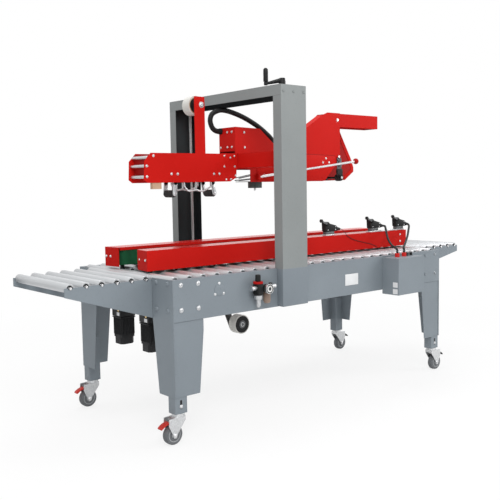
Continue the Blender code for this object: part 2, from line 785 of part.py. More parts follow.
def kicker_arm():
    """The channel-section arm that folds the trailing flap."""
    pin_x, pin_z = outline_at([KICKER_PIVOT], HEAD_Z)[0]
    start, stop = pin_x - 0.030, along(KICKER_TIP)
    low, high = pin_z - KICKER_HEIGHT / 2, pin_z + KICKER_HEIGHT / 2
    pieces = [block((start, stop), (-KICKER_HALF, KICKER_HALF), (high - SHEET, high))]
    for side in (-1, 1):
        cheek = (side * KICKER_HALF, side * (KICKER_HALF - SHEET))
        pieces.append(block((start, stop), cheek, (low, high - 0.001)))
        boss = (side * (KICKER_HALF - 0.001), side * (HEAD_HALF - SHEET - SEAT))
        pieces.append(rod((pin_x, boss[0], pin_z), (pin_x, boss[1], pin_z), 0.014))
    inner = KICKER_HALF - SHEET + 0.001
    pieces.append(block((stop - SHEET, stop - 0.0002), (-inner, inner), (low, high - 0.001)))
    bore = rod((pin_x, -0.08, pin_z), (pin_x, 0.08, pin_z), KICKER_PIN_RADIUS + RUN)
    return solid("kicker_arm", "red_paint", pieces, [bore], pivot=(pin_x, 0, pin_z))


def plough(name, side):
    """A side-flap plough: a clamp on the head plate, a rod that flares outwards, and a ball end."""
    window = HEAD_FRONT_WINDOW if side < 0 else HEAD_BACK_WINDOW
    foot = Vector((along(window + PLOUGH_INSET), side * (HEAD_HALF + 0.009), HEAD_Z + 0.025))
    tip = Vector((along(1.338), side * 0.1865, HEAD_Z + 0.102))
    clamp = block(
        (foot.x - 0.014, foot.x + 0.014),
        (side * (HEAD_HALF + SEAT), side * (HEAD_HALF + 0.017)),
        (foot.z - 0.013, foot.z + 0.013),
    )
    return solid(name, "zinc", [clamp, rod(foot, tip, 0.005, 8), ball(tip, 0.013)])


def infeed_roller():
    """The black hold-down roller at the head's nose, on the shaft between two hangers."""
    top, low = outline_at([INFEED_ARM_TOP, INFEED_ROLLER], HEAD_Z)
    face = HEAD_HALF - SHEET - SEAT
    pieces = [rod((top[0], -face, top[1]), (top[0], face, top[1]), 0.007, 8)]
    for side in (-1, 1):
        pieces.append(bar(top, low, 0.026, sorted((side * (face - 0.004), side * (face - 0.0005)))))
    pieces.append(rod((low[0], -face + 0.001, low[1]), (low[0], face - 0.001, low[1]), 0.006, 8))
    pieces.append(rod((low[0], INFEED_ROLLER_Y[0], low[1]), (low[0], INFEED_ROLLER_Y[1], low[1]), 0.019))
    return solid("infeed_roller", "black_rubber", pieces)


def stop_pad():
    """The round rubber stop under the head, on its stud."""
    x = along(0.785)
    return [
        rod((x, 0, HEAD_Z - 0.030), (x, 0, HEAD_Z + 0.002), 0.0355, 16),
        rod((x, 0, HEAD_Z - 0.043), (x, 0, HEAD_Z - 0.029), 0.006, 8),
    ]


def guide_bars():
    """Two thin bars on each side plate that reach back past the window."""
    pieces = []
    for side, root in ((-1, HEAD_FRONT_WINDOW), (1, HEAD_BACK_WINDOW)):
        face = HEAD_HALF - SHEET
        y = sorted((side * (face + 0.001), side * (face - 0.008)))
        stop = root + 0.040
        start = root - GUIDE_BAR_REACH
        for low, high, height in GUIDE_BARS:
            outline = [(start, low), (stop, high), (stop, high + height), (start, low + height)]
            pieces.append(prism("Y", outline_at(outline, HEAD_Z), y))
    return pieces


def conduit():
    """The flexible conduit that loops from the end of the head to its cover, held at both ends."""
    points = [
        (along(0.609), 0.047, HEAD_Z + 0.250),
        (along(0.597), 0.047, HEAD_Z + 0.250),
        (along(0.578), 0.047, HEAD_Z + 0.252),
        (along(0.558), 0.046, HEAD_Z + 0.264),
        (along(0.546), 0.045, HEAD_Z + 0.285),
        (along(0.543), 0.044, HEAD_Z + 0.306),
        (along(0.552), 0.042, HEAD_Z + 0.330),
        (along(0.578), 0.040, HEAD_Z + 0.346),
        (along(0.614), 0.036, HEAD_Z + 0.353),
        (along(0.670), 0.028, HEAD_Z + 0.343),
        (along(0.742), 0.018, HEAD_Z + 0.318),
        (along(0.817), 0.008, HEAD_Z + 0.280),
        (along(0.872), 0.003, HEAD_Z + 0.243),
        (along(0.898), 0.000, HEAD_Z + 0.221),
        (along(CONDUIT_END), 0.000, HEAD_Z + DIP_RISE + 0.014),
        (along(CONDUIT_END), 0.000, HEAD_Z + DIP_RISE + 0.001),
    ]
    return tube_along(points, 0.0115, "black_plastic", "head_conduit", 3)


# ---------------------------------------------------------------- tape cartridges

CARTRIDGE_PLATE = [(0.088, 0.016), (0.107, 0.002), (0.574, 0.004), (0.611, 0.023), (0.618, 0.136)]
CARTRIDGE_BACK = [(0.127, 0.134), (0.092, 0.098)]
TAPE_ARM = [(0.428, 0.1355), (0.428, 0.395), (0.370, 0.395), (0.370, 0.135)]
TAPE_AXLE = (0.409, 0.358)
ARM_PIVOTS = (0.268, 0.508)
ARM_REACH = 0.0435  # half the length of an arm roller's axle
ARM_SHAPES = (((0.004, -0.040), (-0.001, -0.090)), ((-0.022, -0.042), (-0.012, -0.091)))
ARM_LEVER_WIDTH = 0.022
PIVOT_Z = 0.041
SPACERS = [(0.140, 0.121), (0.104, 0.076), (0.104, 0.029)]


def cartridge_rods(base, up, places, half):
    rods = []
    for x, z in places:
        rods.append(
            rod((along(x), -half, base + up * z), (along(x), half, base + up * z), CARTRIDGE_ROD_RADIUS)
        )
    return rods


def cartridge_side(points, base, up, side):
    outline = [(along(x), base + up * z) for x, z in points]
    return prism("Y", outline, sorted((side * CARTRIDGE_INNER, side * CARTRIDGE_OUTER)))


def top_cartridge():
    front = CARTRIDGE_PLATE + TAPE_ARM + CARTRIDGE_BACK
    axle_x, axle_z = outline_at([TAPE_AXLE], HEAD_Z)[0]
    half = CARTRIDGE_INNER + 0.001
    places = SPACERS + [(x, PIVOT_Z) for x in ARM_PIVOTS]
    pieces = [
        cartridge_side(front, HEAD_Z, 1, -1),
        cartridge_side(CARTRIDGE_PLATE + CARTRIDGE_BACK, HEAD_Z, 1, 1),
        *cartridge_rods(HEAD_Z, 1, places, half),
        block((along(0.118), along(0.121)), (-half, half), (HEAD_Z + 0.020, HEAD_Z + 0.128)),
        block((along(0.133), along(0.180)), (-half, -ARM_REACH - 0.001), (HEAD_Z - 0.026, HEAD_Z + 0.005)),
        rod((axle_x, -CARTRIDGE_OUTER - 0.005, axle_z), (axle_x, 0.030, axle_z), SCREW_RADIUS),
    ]
    return solid("top_cartridge", "red_paint", pieces)


BOTTOM_CARTRIDGE_Z = BED_Z - 0.004
BOTTOM_ROLL = (0.665, -0.317)
BOTTOM_HANGERS = [(0.160, 0.016), (0.598, 0.030)]


def bottom_cartridge():
    """The same cartridge upside down under the bed, hung on cross pins between the short rollers."""
    base = BOTTOM_CARTRIDGE_Z
    axle = (along(BOTTOM_ROLL[0]), BED_Z + BOTTOM_ROLL[1])
    arm_top = (along(0.585), base - 0.118)
    half = CARTRIDGE_INNER + 0.001
    places = SPACERS + [(x, PIVOT_Z) for x in ARM_PIVOTS]
    pieces = [
        cartridge_side(CARTRIDGE_PLATE + CARTRIDGE_BACK, base, -1, -1),
        cartridge_side(CARTRIDGE_PLATE + CARTRIDGE_BACK, base, -1, 1),
        *cartridge_rods(base, -1, places, half),
        *cartridge_rods(base, -1, BOTTOM_HANGERS, 0.078 - SEAT),
        bar(arm_top, axle, 0.036, (CARTRIDGE_OUTER - 0.001, CARTRIDGE_OUTER + 0.004)),
        rod((axle[0], -0.030, axle[1]), (axle[0], CARTRIDGE_OUTER + 0.003, axle[1]), SCREW_RADIUS),
    ]
    return solid("bottom_cartridge", "dark_steel", pieces)


def tape_roll(name, x, z, radius):
    half = TAPE_WIDTH / 2
    return solid(
        name,
        "cream_tape",
        [rod((x, -half, z), (x, half, z), radius, 24)],
        [rod((x, -half - 0.01, z), (x, half + 0.01, z), SCREW_RADIUS + RUN)],
        pivot=(x, 0, z),
    )


def apply_arm(name, pivot_x, shape, base, up):
    """A tape arm: a hub on the cartridge's cross rod, two cranked levers and the rubber roller."""
    pivot = (along(pivot_x), base + up * PIVOT_Z)
    knee, end = [(pivot[0] + x, pivot[1] + up * z) for x, z in shape]
    lever_y = (ARM_REACH - 0.007, ARM_REACH - 0.003)
    hub = 0.046
    pieces = [rod((pivot[0], -hub, pivot[1]), (pivot[0], hub, pivot[1]), 0.0125)]
    for side in (-1, 1):
        reach = sorted((side * lever_y[0], side * lever_y[1]))
        pieces.append(bar(pivot, knee, ARM_LEVER_WIDTH, reach))
        pieces.append(bar(knee, end, ARM_LEVER_WIDTH, reach))
    pieces.append(rod((end[0], -ARM_REACH, end[1]), (end[0], ARM_REACH, end[1]), 0.005, 8))
    pieces.append(rod((end[0], -0.030, end[1]), (end[0], 0.030, end[1]), APPLY_ROLLER_RADIUS, 16))
    bore_end = hub + 0.01
    bore = rod((pivot[0], -bore_end, pivot[1]), (pivot[0], bore_end, pivot[1]), CARTRIDGE_ROD_RADIUS + RUN)
    return solid(name, "black_rubber", pieces, [bore], pivot=(pivot[0], 0, pivot[1]))


# ---------------------------------------------------------------- side drives


def guard_footprint(side):
    start, stop = GUARD_END, BODY_LENGTH - GUARD_END
    return [
        (along(start), side * GUARD_OUTER),
        (along(stop), side * GUARD_OUTER),
        (along(stop - GUARD_CHAMFER), side * GUARD_INNER),
        (along(start + GUARD_CHAMFER), side * GUARD_INNER),
    ]


def side_guard(name, side):
    """A red cover: top, outer wall and two skewed end walls, open to the carton and below."""
    corners = guard_footprint(side)
    wall_y = (side * GUARD_OUTER, side * (GUARD_OUTER - SHEET))
    z = (GUARD_BOTTOM, GUARD_TOP - SHEET / 2)
    pieces = [
        prism("Z", corners, (GUARD_TOP - SHEET, GUARD_TOP)),
        block((corners[0][0] + 0.0005, corners[1][0] - 0.0005), wall_y, z),
    ]
    for outer, inner, way in ((corners[0], corners[3], 1), (corners[1], corners[2], -1)):
        skew = [
            (outer[0], outer[1] - side * 0.0005),
            (inner[0], inner[1]),
            (inner[0] + way * SHEET, inner[1]),
            (outer[0] + way * SHEET, outer[1] - side * 0.0005),
        ]
        pieces.append(prism("Z", skew, z))
    return solid(name, "red_paint", pieces)


def stadium(start, stop, y, radius, z):
    """An outline with round ends along X, pulled up over z."""
    outline = []
    for centre, turn in ((stop, -0.5), (start, 0.5)):
        for i in range(9):
            angle = math.pi * (turn + i / 8)
            outline.append((centre + radius * math.cos(angle), y + radius * math.sin(angle)))
    return prism("Z", outline, z)


def side_belt(name, side):
    """The belt loop on its two pulleys, with the idler's post and slide block at the infeed end."""
    y = side * DRIVE_Y
    radius = BELT_LOOP_WIDTH / 2
    start, stop = along(0.040 + radius), -along(0.040 + radius)
    z = (GUARD_BOTTOM + 0.008, GUARD_TOP - 0.004)
    post_x = along(slide_rod_places()[1])
    inner = stadium(start, stop, y, radius - BELT_THICKNESS, (z[0] - 0.01, z[1] + 0.01))
    loop = baked([stadium(start, stop, y, radius, z)], [inner])
    drums = []
    for x in (start, stop):
        drums.append(rod((x, y, z[0] + 0.001), (x, y, z[1] - 0.001), radius - BELT_THICKNESS + 0.0015, 16))
        drums.append(rod((x, y, z[1] - 0.002), (x, y, GUARD_TOP - SHEET - SEAT), 0.012, 8))
    drums.append(block((post_x - 0.006, post_x + 0.006), (y - 0.010, y + 0.010), (SLIDE_TOP - 0.002, z[0] + 0.003)))
    drums.append(block((post_x - 0.015, post_x + 0.015), (y - 0.030, y + 0.030), (SLIDE_LOW, SLIDE_TOP)))
    return solid(name, "belt_green", [loop, *drums], [slide_bore(post_x, y)])


SLIDE_TOP = SLIDE_ROD_Z + 0.016
SLIDE_LOW = SLIDE_ROD_Z - 0.016


def slide_bore(x, y):
    return rod((x, y - 0.05, SLIDE_ROD_Z), (x, y + 0.05, SLIDE_ROD_Z), SLIDE_ROD_RADIUS + RUN)


def drive_motor(name, side):
    """The gearmotor under the outfeed end: slide block, post up to the drive pulley, gearbox, motor."""
    x = along(slide_rod_places()[0])
    y = side * DRIVE_Y
    half = MOTOR_WIDTH / 2
    shoulder = MOTOR_TOP - 0.070
    pieces = [
        block((x - 0.015, x + 0.015), (y - 0.030, y + 0.030), (SLIDE_LOW, SLIDE_TOP)),
        block((x - 0.006, x + 0.006), (y - 0.010, y + 0.010), (SLIDE_TOP - 0.002, GUARD_BOTTOM + 0.008 - SEAT)),
        block((x - 0.014, x + 0.014), (y - 0.020, y + 0.020), (MOTOR_TOP - 0.002, SLIDE_LOW + 0.002)),
        block((x - half, x + half), (y - half, y + half), (shoulder, MOTOR_TOP)),
        block((x - half + 0.004, x + half - 0.004), (y - half + 0.004, y + half - 0.004), (MOTOR_BOTTOM, shoulder + 0.002)),
    ]
    return solid(name, "black_plastic", pieces, [slide_bore(x, y)])


# ---------------------------------------------------------------- limit switches and hoses

SWITCH_Y = -GUARD_OUTER + 0.020
SWITCH_HALF = 0.015
SWITCH_Z = GUARD_TOP + SEAT
SWITCH_STARTS = (1.122, 1.478, 1.700)
SWITCH_LENGTH = 0.066
LEVER_REACH = 0.052


def switch_body(start):
    """Base, body, round head with the lever's shaft, and the cable gland of one switch."""
    x = along(start)
    y = SWITCH_Y
    stop = x + SWITCH_LENGTH
    return [
        block((x + 0.006, stop), (y - SWITCH_HALF, y + SWITCH_HALF), (SWITCH_Z + 0.006, SWITCH_Z + 0.048)),
        block((x - 0.004, x + 0.024), (y - SWITCH_HALF, y + SWITCH_HALF), (SWITCH_Z + 0.040, SWITCH_Z + 0.072)),
        rod((stop - 0.002, y, SWITCH_Z + 0.030), (stop + 0.022, y, SWITCH_Z + 0.030), 0.009, 8),
    ]


def switch_foot(start, stop):
    return block(
        (along(start), along(stop)),
        (SWITCH_Y - SWITCH_HALF + 0.001, SWITCH_Y + SWITCH_HALF - 0.001),
        (SWITCH_Z, SWITCH_Z + 0.007),
    )


def switch_lever(name, start):
    x = along(start) + 0.008
    z = SWITCH_Z + 0.060
    y = SWITCH_Y - SWITCH_HALF - SEAT
    tip_x, tip_z = x - LEVER_REACH, z + 0.010
    return solid(
        name,
        "black_plastic",
        [
            rod((x, y, z), (x, y - 0.009, z), 0.008, 8),
            bar((x, z), (tip_x, tip_z), 0.009, (y - 0.008, y - 0.004)),
            rod((tip_x, y - 0.001, tip_z), (tip_x, y - 0.013, tip_z), 0.009, 12),
        ],
        pivot=(x, y, z),
    )


def limit_switches():
    first, second, third = SWITCH_STARTS
    solid("limit_switch_a", "black_plastic", [switch_foot(first, first + SWITCH_LENGTH), *switch_body(first)])
    solid(
        "limit_switch_b",
        "black_plastic",
        [switch_foot(second - 0.014, third + SWITCH_LENGTH), *switch_body(second), *switch_body(third)],
    )
    for label, start in zip("abc", SWITCH_STARTS):
        switch_lever(f"switch_lever_{label}", start)


HOSE_RADIUS = 0.0045
HOSE_SEAT = 0.0009
GLANDS = (1.372, 1.428)
GLAND_Y = -(HALF_Y + 0.045)
CONTROL_BOX_TOP = BED_Z - CONTROL_BOX_DROP
GLAND_TOP = CONTROL_BOX_TOP + 0.020


def hoses():
    """Two hoses from the rear pair of switches to the glands on the control box."""
    _, second, third = SWITCH_STARTS
    y, z = SWITCH_Y, SWITCH_Z + 0.030
    start = along(second) + SWITCH_LENGTH + 0.022 + SEAT
    gland = Vector((along(GLANDS[0]), GLAND_Y, GLAND_TOP))
    tube_along(
        [
            (start, y, z),
            (start + 0.024, y, z + 0.001),
            (start + 0.037, y - 0.010, z + 0.000),
            (start + 0.032, y - 0.034, z - 0.012),
            (start - 0.006, y - 0.078, z - 0.036),
            (start - 0.088, y - 0.150, z - 0.068),
            gland + Vector((0.044, 0.056, 0.036)),
            gland + Vector((0.014, 0.018, 0.029)),
            gland + Vector((0.002, 0.003, 0.019)),
            gland + Vector((0, 0, 0.010)),
            gland + Vector((0, 0, HOSE_SEAT)),
        ],
        HOSE_RADIUS,
        "black_plastic",
        "switch_hose_b",
    )
    start = along(third) + SWITCH_LENGTH + 0.022 + SEAT
    gland = Vector((along(GLANDS[1]), GLAND_Y, GLAND_TOP))
    tube_along(
        [
            (start, y, z),
            (start + 0.022, y, z + 0.001),
            (start + 0.034, y - 0.010, z + 0.001),
            (start + 0.026, y - 0.034, z - 0.012),
            (start - 0.020, y - 0.070, z - 0.032),
            (start - 0.118, y - 0.130, z - 0.062),
            (start - 0.230, y - 0.196, z - 0.086),
            gland + Vector((0.044, 0.036, 0.030)),
            gland + Vector((0.016, 0.014, 0.026)),
            gland + Vector((0.003, 0.003, 0.018)),
            gland + Vector((0, 0, 0.010)),
            gland + Vector((0, 0, HOSE_SEAT)),
        ],
        HOSE_RADIUS,
        "black_plastic",
        "switch_hose_c",
    )


def control_box():
    """A sheet box on the side panel, open at its back, with glands and a switch on top."""
    x = (along(CONTROL_BOX_START), along(CONTROL_BOX_START + CONTROL_BOX_LENGTH))
    y = (-HALF_Y - CONTROL_BOX_DEPTH, -HALF_Y - SEAT)
    z = (CONTROL_BOX_TOP - CONTROL_BOX_HEIGHT, CONTROL_BOX_TOP)
    wall = 0.0025
    pieces = [block(x, y, z)]
    for place in GLANDS:
        pieces.append(rod((along(place), GLAND_Y, z[1] - 0.001), (along(place), GLAND_Y, GLAND_TOP), 0.012))
    for place in (0.168, 0.190):
        centre = (x[0] + place, GLAND_Y + 0.010)
        pieces.append(rod((*centre, z[1] - 0.001), (*centre, z[1] + 0.016), 0.008, 8))
    hollow = block((x[0] + wall, x[1] - wall), (y[0] + wall, y[1] + 0.01), (z[0] + wall, z[1] - wall))
    return solid("control_box", "grey_paint", pieces, [hollow])


def air_unit():
    """Filter, regulator and gauge on a bracket, with a turning knob on top."""
    x = along(AIR_UNIT_X)
    y = -HALF_Y - 0.032
    z = BED_Z - 0.072
    pieces = [
        block((x - 0.019, x + 0.019), (y - 0.018, y + 0.018), (z - 0.026, z + 0.022)),
        block((x - 0.014, x + 0.014), (y, -HALF_Y - SEAT), (z - 0.016, z + 0.010)),
        rod((x, y, z + 0.020), (x, y, z + 0.030), 0.023),
        rod((x - 0.040, y, z + 0.002), (x + 0.100, y, z + 0.002), 0.009, 8),
        rod((x + 0.045, y - 0.022, z - 0.004), (x + 0.045, y + 0.006, z - 0.004), 0.020),
        rod((x, y, z - 0.052), (x, y, z - 0.024), 0.0125),
        rod((x, y, z - 0.084), (x, y, z - 0.050), 0.0045, 8),
        rod((x + 0.052, y, z - 0.076), (x + 0.052, y, z - 0.020), 0.013, 8),
    ]
    solid("air_unit", "black_plastic", pieces)
    knob_z = z + 0.030 + SEAT
    solid(
        "regulator_knob",
        "black_plastic",
        [rod((x, y, knob_z), (x, y, knob_z + 0.030), 0.0125)],
        pivot=(x, y, knob_z),
    )


# ---------------------------------------------------------------- assembly


def build():
    clear_scene()
    for label, side in (("front", -1), ("back", 1)):
        side_panel(f"side_panel_{label}", side)
        column(f"column_{label}", side)
        carriage(f"carriage_{label}", side)
        lead_screw(f"lead_screw_{label}", side)
        plough(f"plough_{label}", side)
        side_guard(f"side_guard_{label}", side)
        side_belt(f"side_belt_{label}", side)
        drive_motor(f"drive_motor_{label}", side)
        for place, end in (("outfeed", -1), ("infeed", 1)):
            leg(f"leg_{place}_{label}", end, side)
            caster(f"{place}_{label}", end, side)
    bed_rollers()
    table("outfeed_table", -1, OUTFEED_ROOT_HEIGHT)
    table("infeed_table", 1, INFEED_ROOT_HEIGHT)
    portal_beam()
    crank()
    head_frame()
    kicker_arm()
    infeed_roller()
    conduit()
    top_cartridge()
    bottom_cartridge()
    top_x, top_z = outline_at([TAPE_AXLE], HEAD_Z)[0]
    tape_roll("top_tape_roll", top_x, top_z, TOP_ROLL_RADIUS)
    tape_roll("bottom_tape_roll", along(BOTTOM_ROLL[0]), BED_Z + BOTTOM_ROLL[1], BOTTOM_ROLL_RADIUS)
    for label, pivot_x, shape in zip(("rear", "lead"), ARM_PIVOTS, ARM_SHAPES):
        apply_arm(f"top_arm_{label}", pivot_x, shape, HEAD_Z, 1)
        apply_arm(f"bottom_arm_{label}", pivot_x, shape, BOTTOM_CARTRIDGE_Z, -1)
    limit_switches()
    hoses()
    control_box()
    air_unit()
    for made in bpy.context.scene.collection.objects:
        if made.parent is None:
            made.location.y += MIDDLE_Y


build()
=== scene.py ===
"""Looks, detail pieces, light and camera for the carton sealing machine."""

from math import acos, cos, pi, radians, sin

import bmesh
import bpy
from mathutils import Matrix, Vector


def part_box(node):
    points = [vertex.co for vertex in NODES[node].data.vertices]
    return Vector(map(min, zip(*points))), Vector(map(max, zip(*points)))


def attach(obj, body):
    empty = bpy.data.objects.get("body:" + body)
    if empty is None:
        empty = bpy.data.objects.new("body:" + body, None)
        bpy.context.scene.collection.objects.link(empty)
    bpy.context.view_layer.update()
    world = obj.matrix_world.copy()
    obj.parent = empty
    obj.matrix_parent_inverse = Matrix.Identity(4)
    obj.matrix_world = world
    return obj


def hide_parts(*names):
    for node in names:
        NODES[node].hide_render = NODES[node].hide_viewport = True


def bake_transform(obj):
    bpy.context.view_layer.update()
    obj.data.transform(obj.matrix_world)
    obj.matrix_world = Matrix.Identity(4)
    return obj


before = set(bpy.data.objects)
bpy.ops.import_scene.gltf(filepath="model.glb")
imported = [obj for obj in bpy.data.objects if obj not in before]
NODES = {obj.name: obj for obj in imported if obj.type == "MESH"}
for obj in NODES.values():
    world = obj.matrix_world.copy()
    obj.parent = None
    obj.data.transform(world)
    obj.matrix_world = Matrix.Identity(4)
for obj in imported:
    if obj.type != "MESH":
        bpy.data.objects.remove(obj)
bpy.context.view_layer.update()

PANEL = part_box("side_panel_front")
BACK_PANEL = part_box("side_panel_back")
END = PANEL[0].x - 0.0034  # outfeed end of the body
BED = PANEL[1].z
MIDDLE = (PANEL[0].y + BACK_PANEL[1].y) / 2
HEAD_HEIGHT = 0.366
HEAD_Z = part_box("head_frame")[1].z - HEAD_HEIGHT
HALF = 0.783 / 2  # half the body's width
LENGTH = 1.800
ROLLER_RADIUS = 0.019
ROLLER_Z = BED - 0.009
COLUMN = 0.649  # the columns' and screws' place along the body
TOP_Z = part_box("portal_beam")[1].z
X, Y, Z = Vector((1, 0, 0)), Vector((0, 1, 0)), Vector((0, 0, 1))


def at(along, across, z):
    """A point from its distance along the body, its distance from the middle plane, and its height."""
    return Vector((END + along, MIDDLE + across, z))


def span(side, near, far):
    """The Y range between two distances from the middle plane, on the side that side gives as -1 or 1."""
    return sorted((MIDDLE + side * near, MIDDLE + side * far))


def about(centre, half):
    """The range that reaches half to each side of centre."""
    return centre - half, centre + half


def mm(*pairs):
    """Pairs of numbers given in millimetres, as metres."""
    return [(one / 1000, two / 1000) for one, two in pairs]


# ---------------------------------------------------------------- materials


class Nodes:
    """A material's node tree with short calls to add and link nodes."""

    def __init__(self, name):
        self.material = bpy.data.materials.new(name)
        self.material.use_nodes = True
        self.tree = self.material.node_tree
        self.shader = self.tree.nodes["Principled BSDF"]

    def add(self, kind, **values):
        node = self.tree.nodes.new(kind)
        for key, value in values.items():
            if key in node.inputs:
                node.inputs[key].default_value = value
            else:
                setattr(node, key, value)
        return node

    def link(self, start, end):
        self.tree.links.new(start, end)

    def set(self, **values):
        for key, value in values.items():
            self.shader.inputs[key.replace("_", " ")].default_value = value

    def coordinates(self, stretch=(1, 1, 1)):
        place = self.add("ShaderNodeTexCoord")
        mapping = self.add("ShaderNodeMapping", Scale=stretch)
        self.link(place.outputs["Object"], mapping.inputs["Vector"])
        return mapping.outputs["Vector"]

    def noise(self, scale, detail=3.0, stretch=(1, 1, 1)):
        node = self.add("ShaderNodeTexNoise", Scale=scale, Detail=detail)
        self.link(self.coordinates(stretch), node.inputs["Vector"])
        return node.outputs["Fac"]

    def ramp(self, value, low, high, start=0.35, stop=0.65):
        node = self.add("ShaderNodeValToRGB")
        node.color_ramp.elements[0].position = start
        node.color_ramp.elements[1].position = stop
        node.color_ramp.elements[0].color = (*low, 1) if len(low) == 3 else low
        node.color_ramp.elements[1].color = (*high, 1) if len(high) == 3 else high
        self.link(value, node.inputs["Fac"])
        return node.outputs["Color"]

    def spread(self, value, low, high):
        node = self.add("ShaderNodeMapRange")
        node.inputs["To Min"].default_value = low
        node.inputs["To Max"].default_value = high
        self.link(value, node.inputs["Value"])
        return node.outputs["Result"]

    def bump(self, value, distance, strength=1.0, normal=None):
        node = self.add("ShaderNodeBump", Distance=distance, Strength=strength)
        self.link(value, node.inputs["Height"])
        if normal:
            self.link(normal, node.inputs["Normal"])
        return node.outputs["Normal"]

    def rounded(self, radius):
        return self.add("ShaderNodeBevel", samples=4, Radius=radius).outputs["Normal"]


def shade(colour, amount):
    """The colour made lighter or darker by a factor."""
    return tuple(min(1.0, max(0.0, c * amount)) for c in colour)


def paint(name, colour, rough=0.42, peel=0.00005, shine=0.25, edge=0.0012, spread=0.05):
    """Sprayed paint: a faint change of tone, orange peel, and rounded sheet edges."""
    made = Nodes(name)
    tone = made.ramp(made.noise(3.5, 4), shade(colour, 1 - spread), shade(colour, 1 + spread), 0.3, 0.7)
    dust = made.ramp(made.noise(140, 5), (0.94, 0.94, 0.94), (1.0, 1.0, 1.0), 0.30, 0.42)
    mix = made.add("ShaderNodeMix", data_type="RGBA", blend_type="MULTIPLY")
    mix.inputs[0].default_value = 1.0
    made.link(tone, mix.inputs[6])
    made.link(dust, mix.inputs[7])
    made.link(mix.outputs[2], made.shader.inputs["Base Color"])
    made.link(made.spread(made.noise(18, 5), rough - 0.06, rough + 0.08), made.shader.inputs["Roughness"])
    normal = made.bump(made.noise(620, 2), peel, 0.6, made.rounded(edge))
    made.link(normal, made.shader.inputs["Normal"])
    made.set(Specular_IOR_Level=shine)
    return made.material


def metal(name, colour, rough, stretch=(1, 1, 1), scale=160, edge=0.0008, streak=0.12, depth=0.00003,
        metallic=1.0):
    """Bright or plated steel with a directional grain."""
    made = Nodes(name)
    grain = made.noise(scale, 5, stretch)
    tone = made.ramp(grain, shade(colour, 1 - streak), shade(colour, 1 + streak * 0.5), 0.3, 0.7)
    made.link(tone, made.shader.inputs["Base Color"])
    made.link(made.spread(grain, rough - 0.08, rough + 0.12), made.shader.inputs["Roughness"])
    made.link(made.bump(grain, depth, 0.5, made.rounded(edge)), made.shader.inputs["Normal"])
    made.set(Metallic=metallic)
    return made.material


def plastic(name, colour, rough, scale=420, depth=0.00008, edge=0.0008, spread=0.12, shine=0.25):
    """Moulded plastic or rubber with a fine pebbled surface."""
    made = Nodes(name)
    tone = made.ramp(made.noise(22, 5), shade(colour, 1 - spread), shade(colour, 1 + spread), 0.3, 0.7)
    made.link(tone, made.shader.inputs["Base Color"])
    made.link(made.spread(made.noise(60, 4), rough - 0.05, rough + 0.1), made.shader.inputs["Roughness"])
    normal = made.bump(made.noise(scale, 3), depth, 0.6, made.rounded(edge))
    made.link(normal, made.shader.inputs["Normal"])
    made.set(Specular_IOR_Level=shine)
    return made.material


def belt_material():
    """Dark green belt with a diamond grip pattern."""
    made = Nodes("belt green")
    colour = (0.006, 0.074, 0.028)
    tone = made.ramp(made.noise(30, 5), shade(colour, 0.7), shade(colour, 1.2), 0.3, 0.7)
    made.link(tone, made.shader.inputs["Base Color"])
    heights = []
    for turn in (0.6, -0.6):
        place = made.add("ShaderNodeTexCoord")
        mapping = made.add("ShaderNodeMapping", Rotation=(0, turn, 0))
        made.link(place.outputs["Object"], mapping.inputs["Vector"])
        wave = made.add("ShaderNodeTexWave", Scale=55.0)
        made.link(mapping.outputs["Vector"], wave.inputs["Vector"])
        heights.append(wave.outputs["Fac"])
    both = made.add("ShaderNodeMath", operation="MAXIMUM")
    made.link(heights[0], both.inputs[0])
    made.link(heights[1], both.inputs[1])
    made.link(made.bump(both.outputs[0], 0.0006, 0.6), made.shader.inputs["Normal"])
    made.set(Roughness=0.72, Specular_IOR_Level=0.2)
    return made.material


def tape_side_material(name, colour):
    """The edge of a wound roll: fine rings about the roll's own axis."""
    made = Nodes(name)
    place = made.add("ShaderNodeTexCoord")
    wave = made.add("ShaderNodeTexWave", Scale=260.0, wave_type="RINGS", rings_direction="Y")
    wave.inputs["Distortion"].default_value = 0.6
    made.link(place.outputs["Object"], wave.inputs["Vector"])
    tone = made.ramp(wave.outputs["Fac"], shade(colour, 0.86), shade(colour, 1.05), 0.0, 1.0)
    made.link(tone, made.shader.inputs["Base Color"])
    made.link(made.bump(wave.outputs["Fac"], 0.0001, 0.4), made.shader.inputs["Normal"])
    made.set(Roughness=0.38)
    return made.material


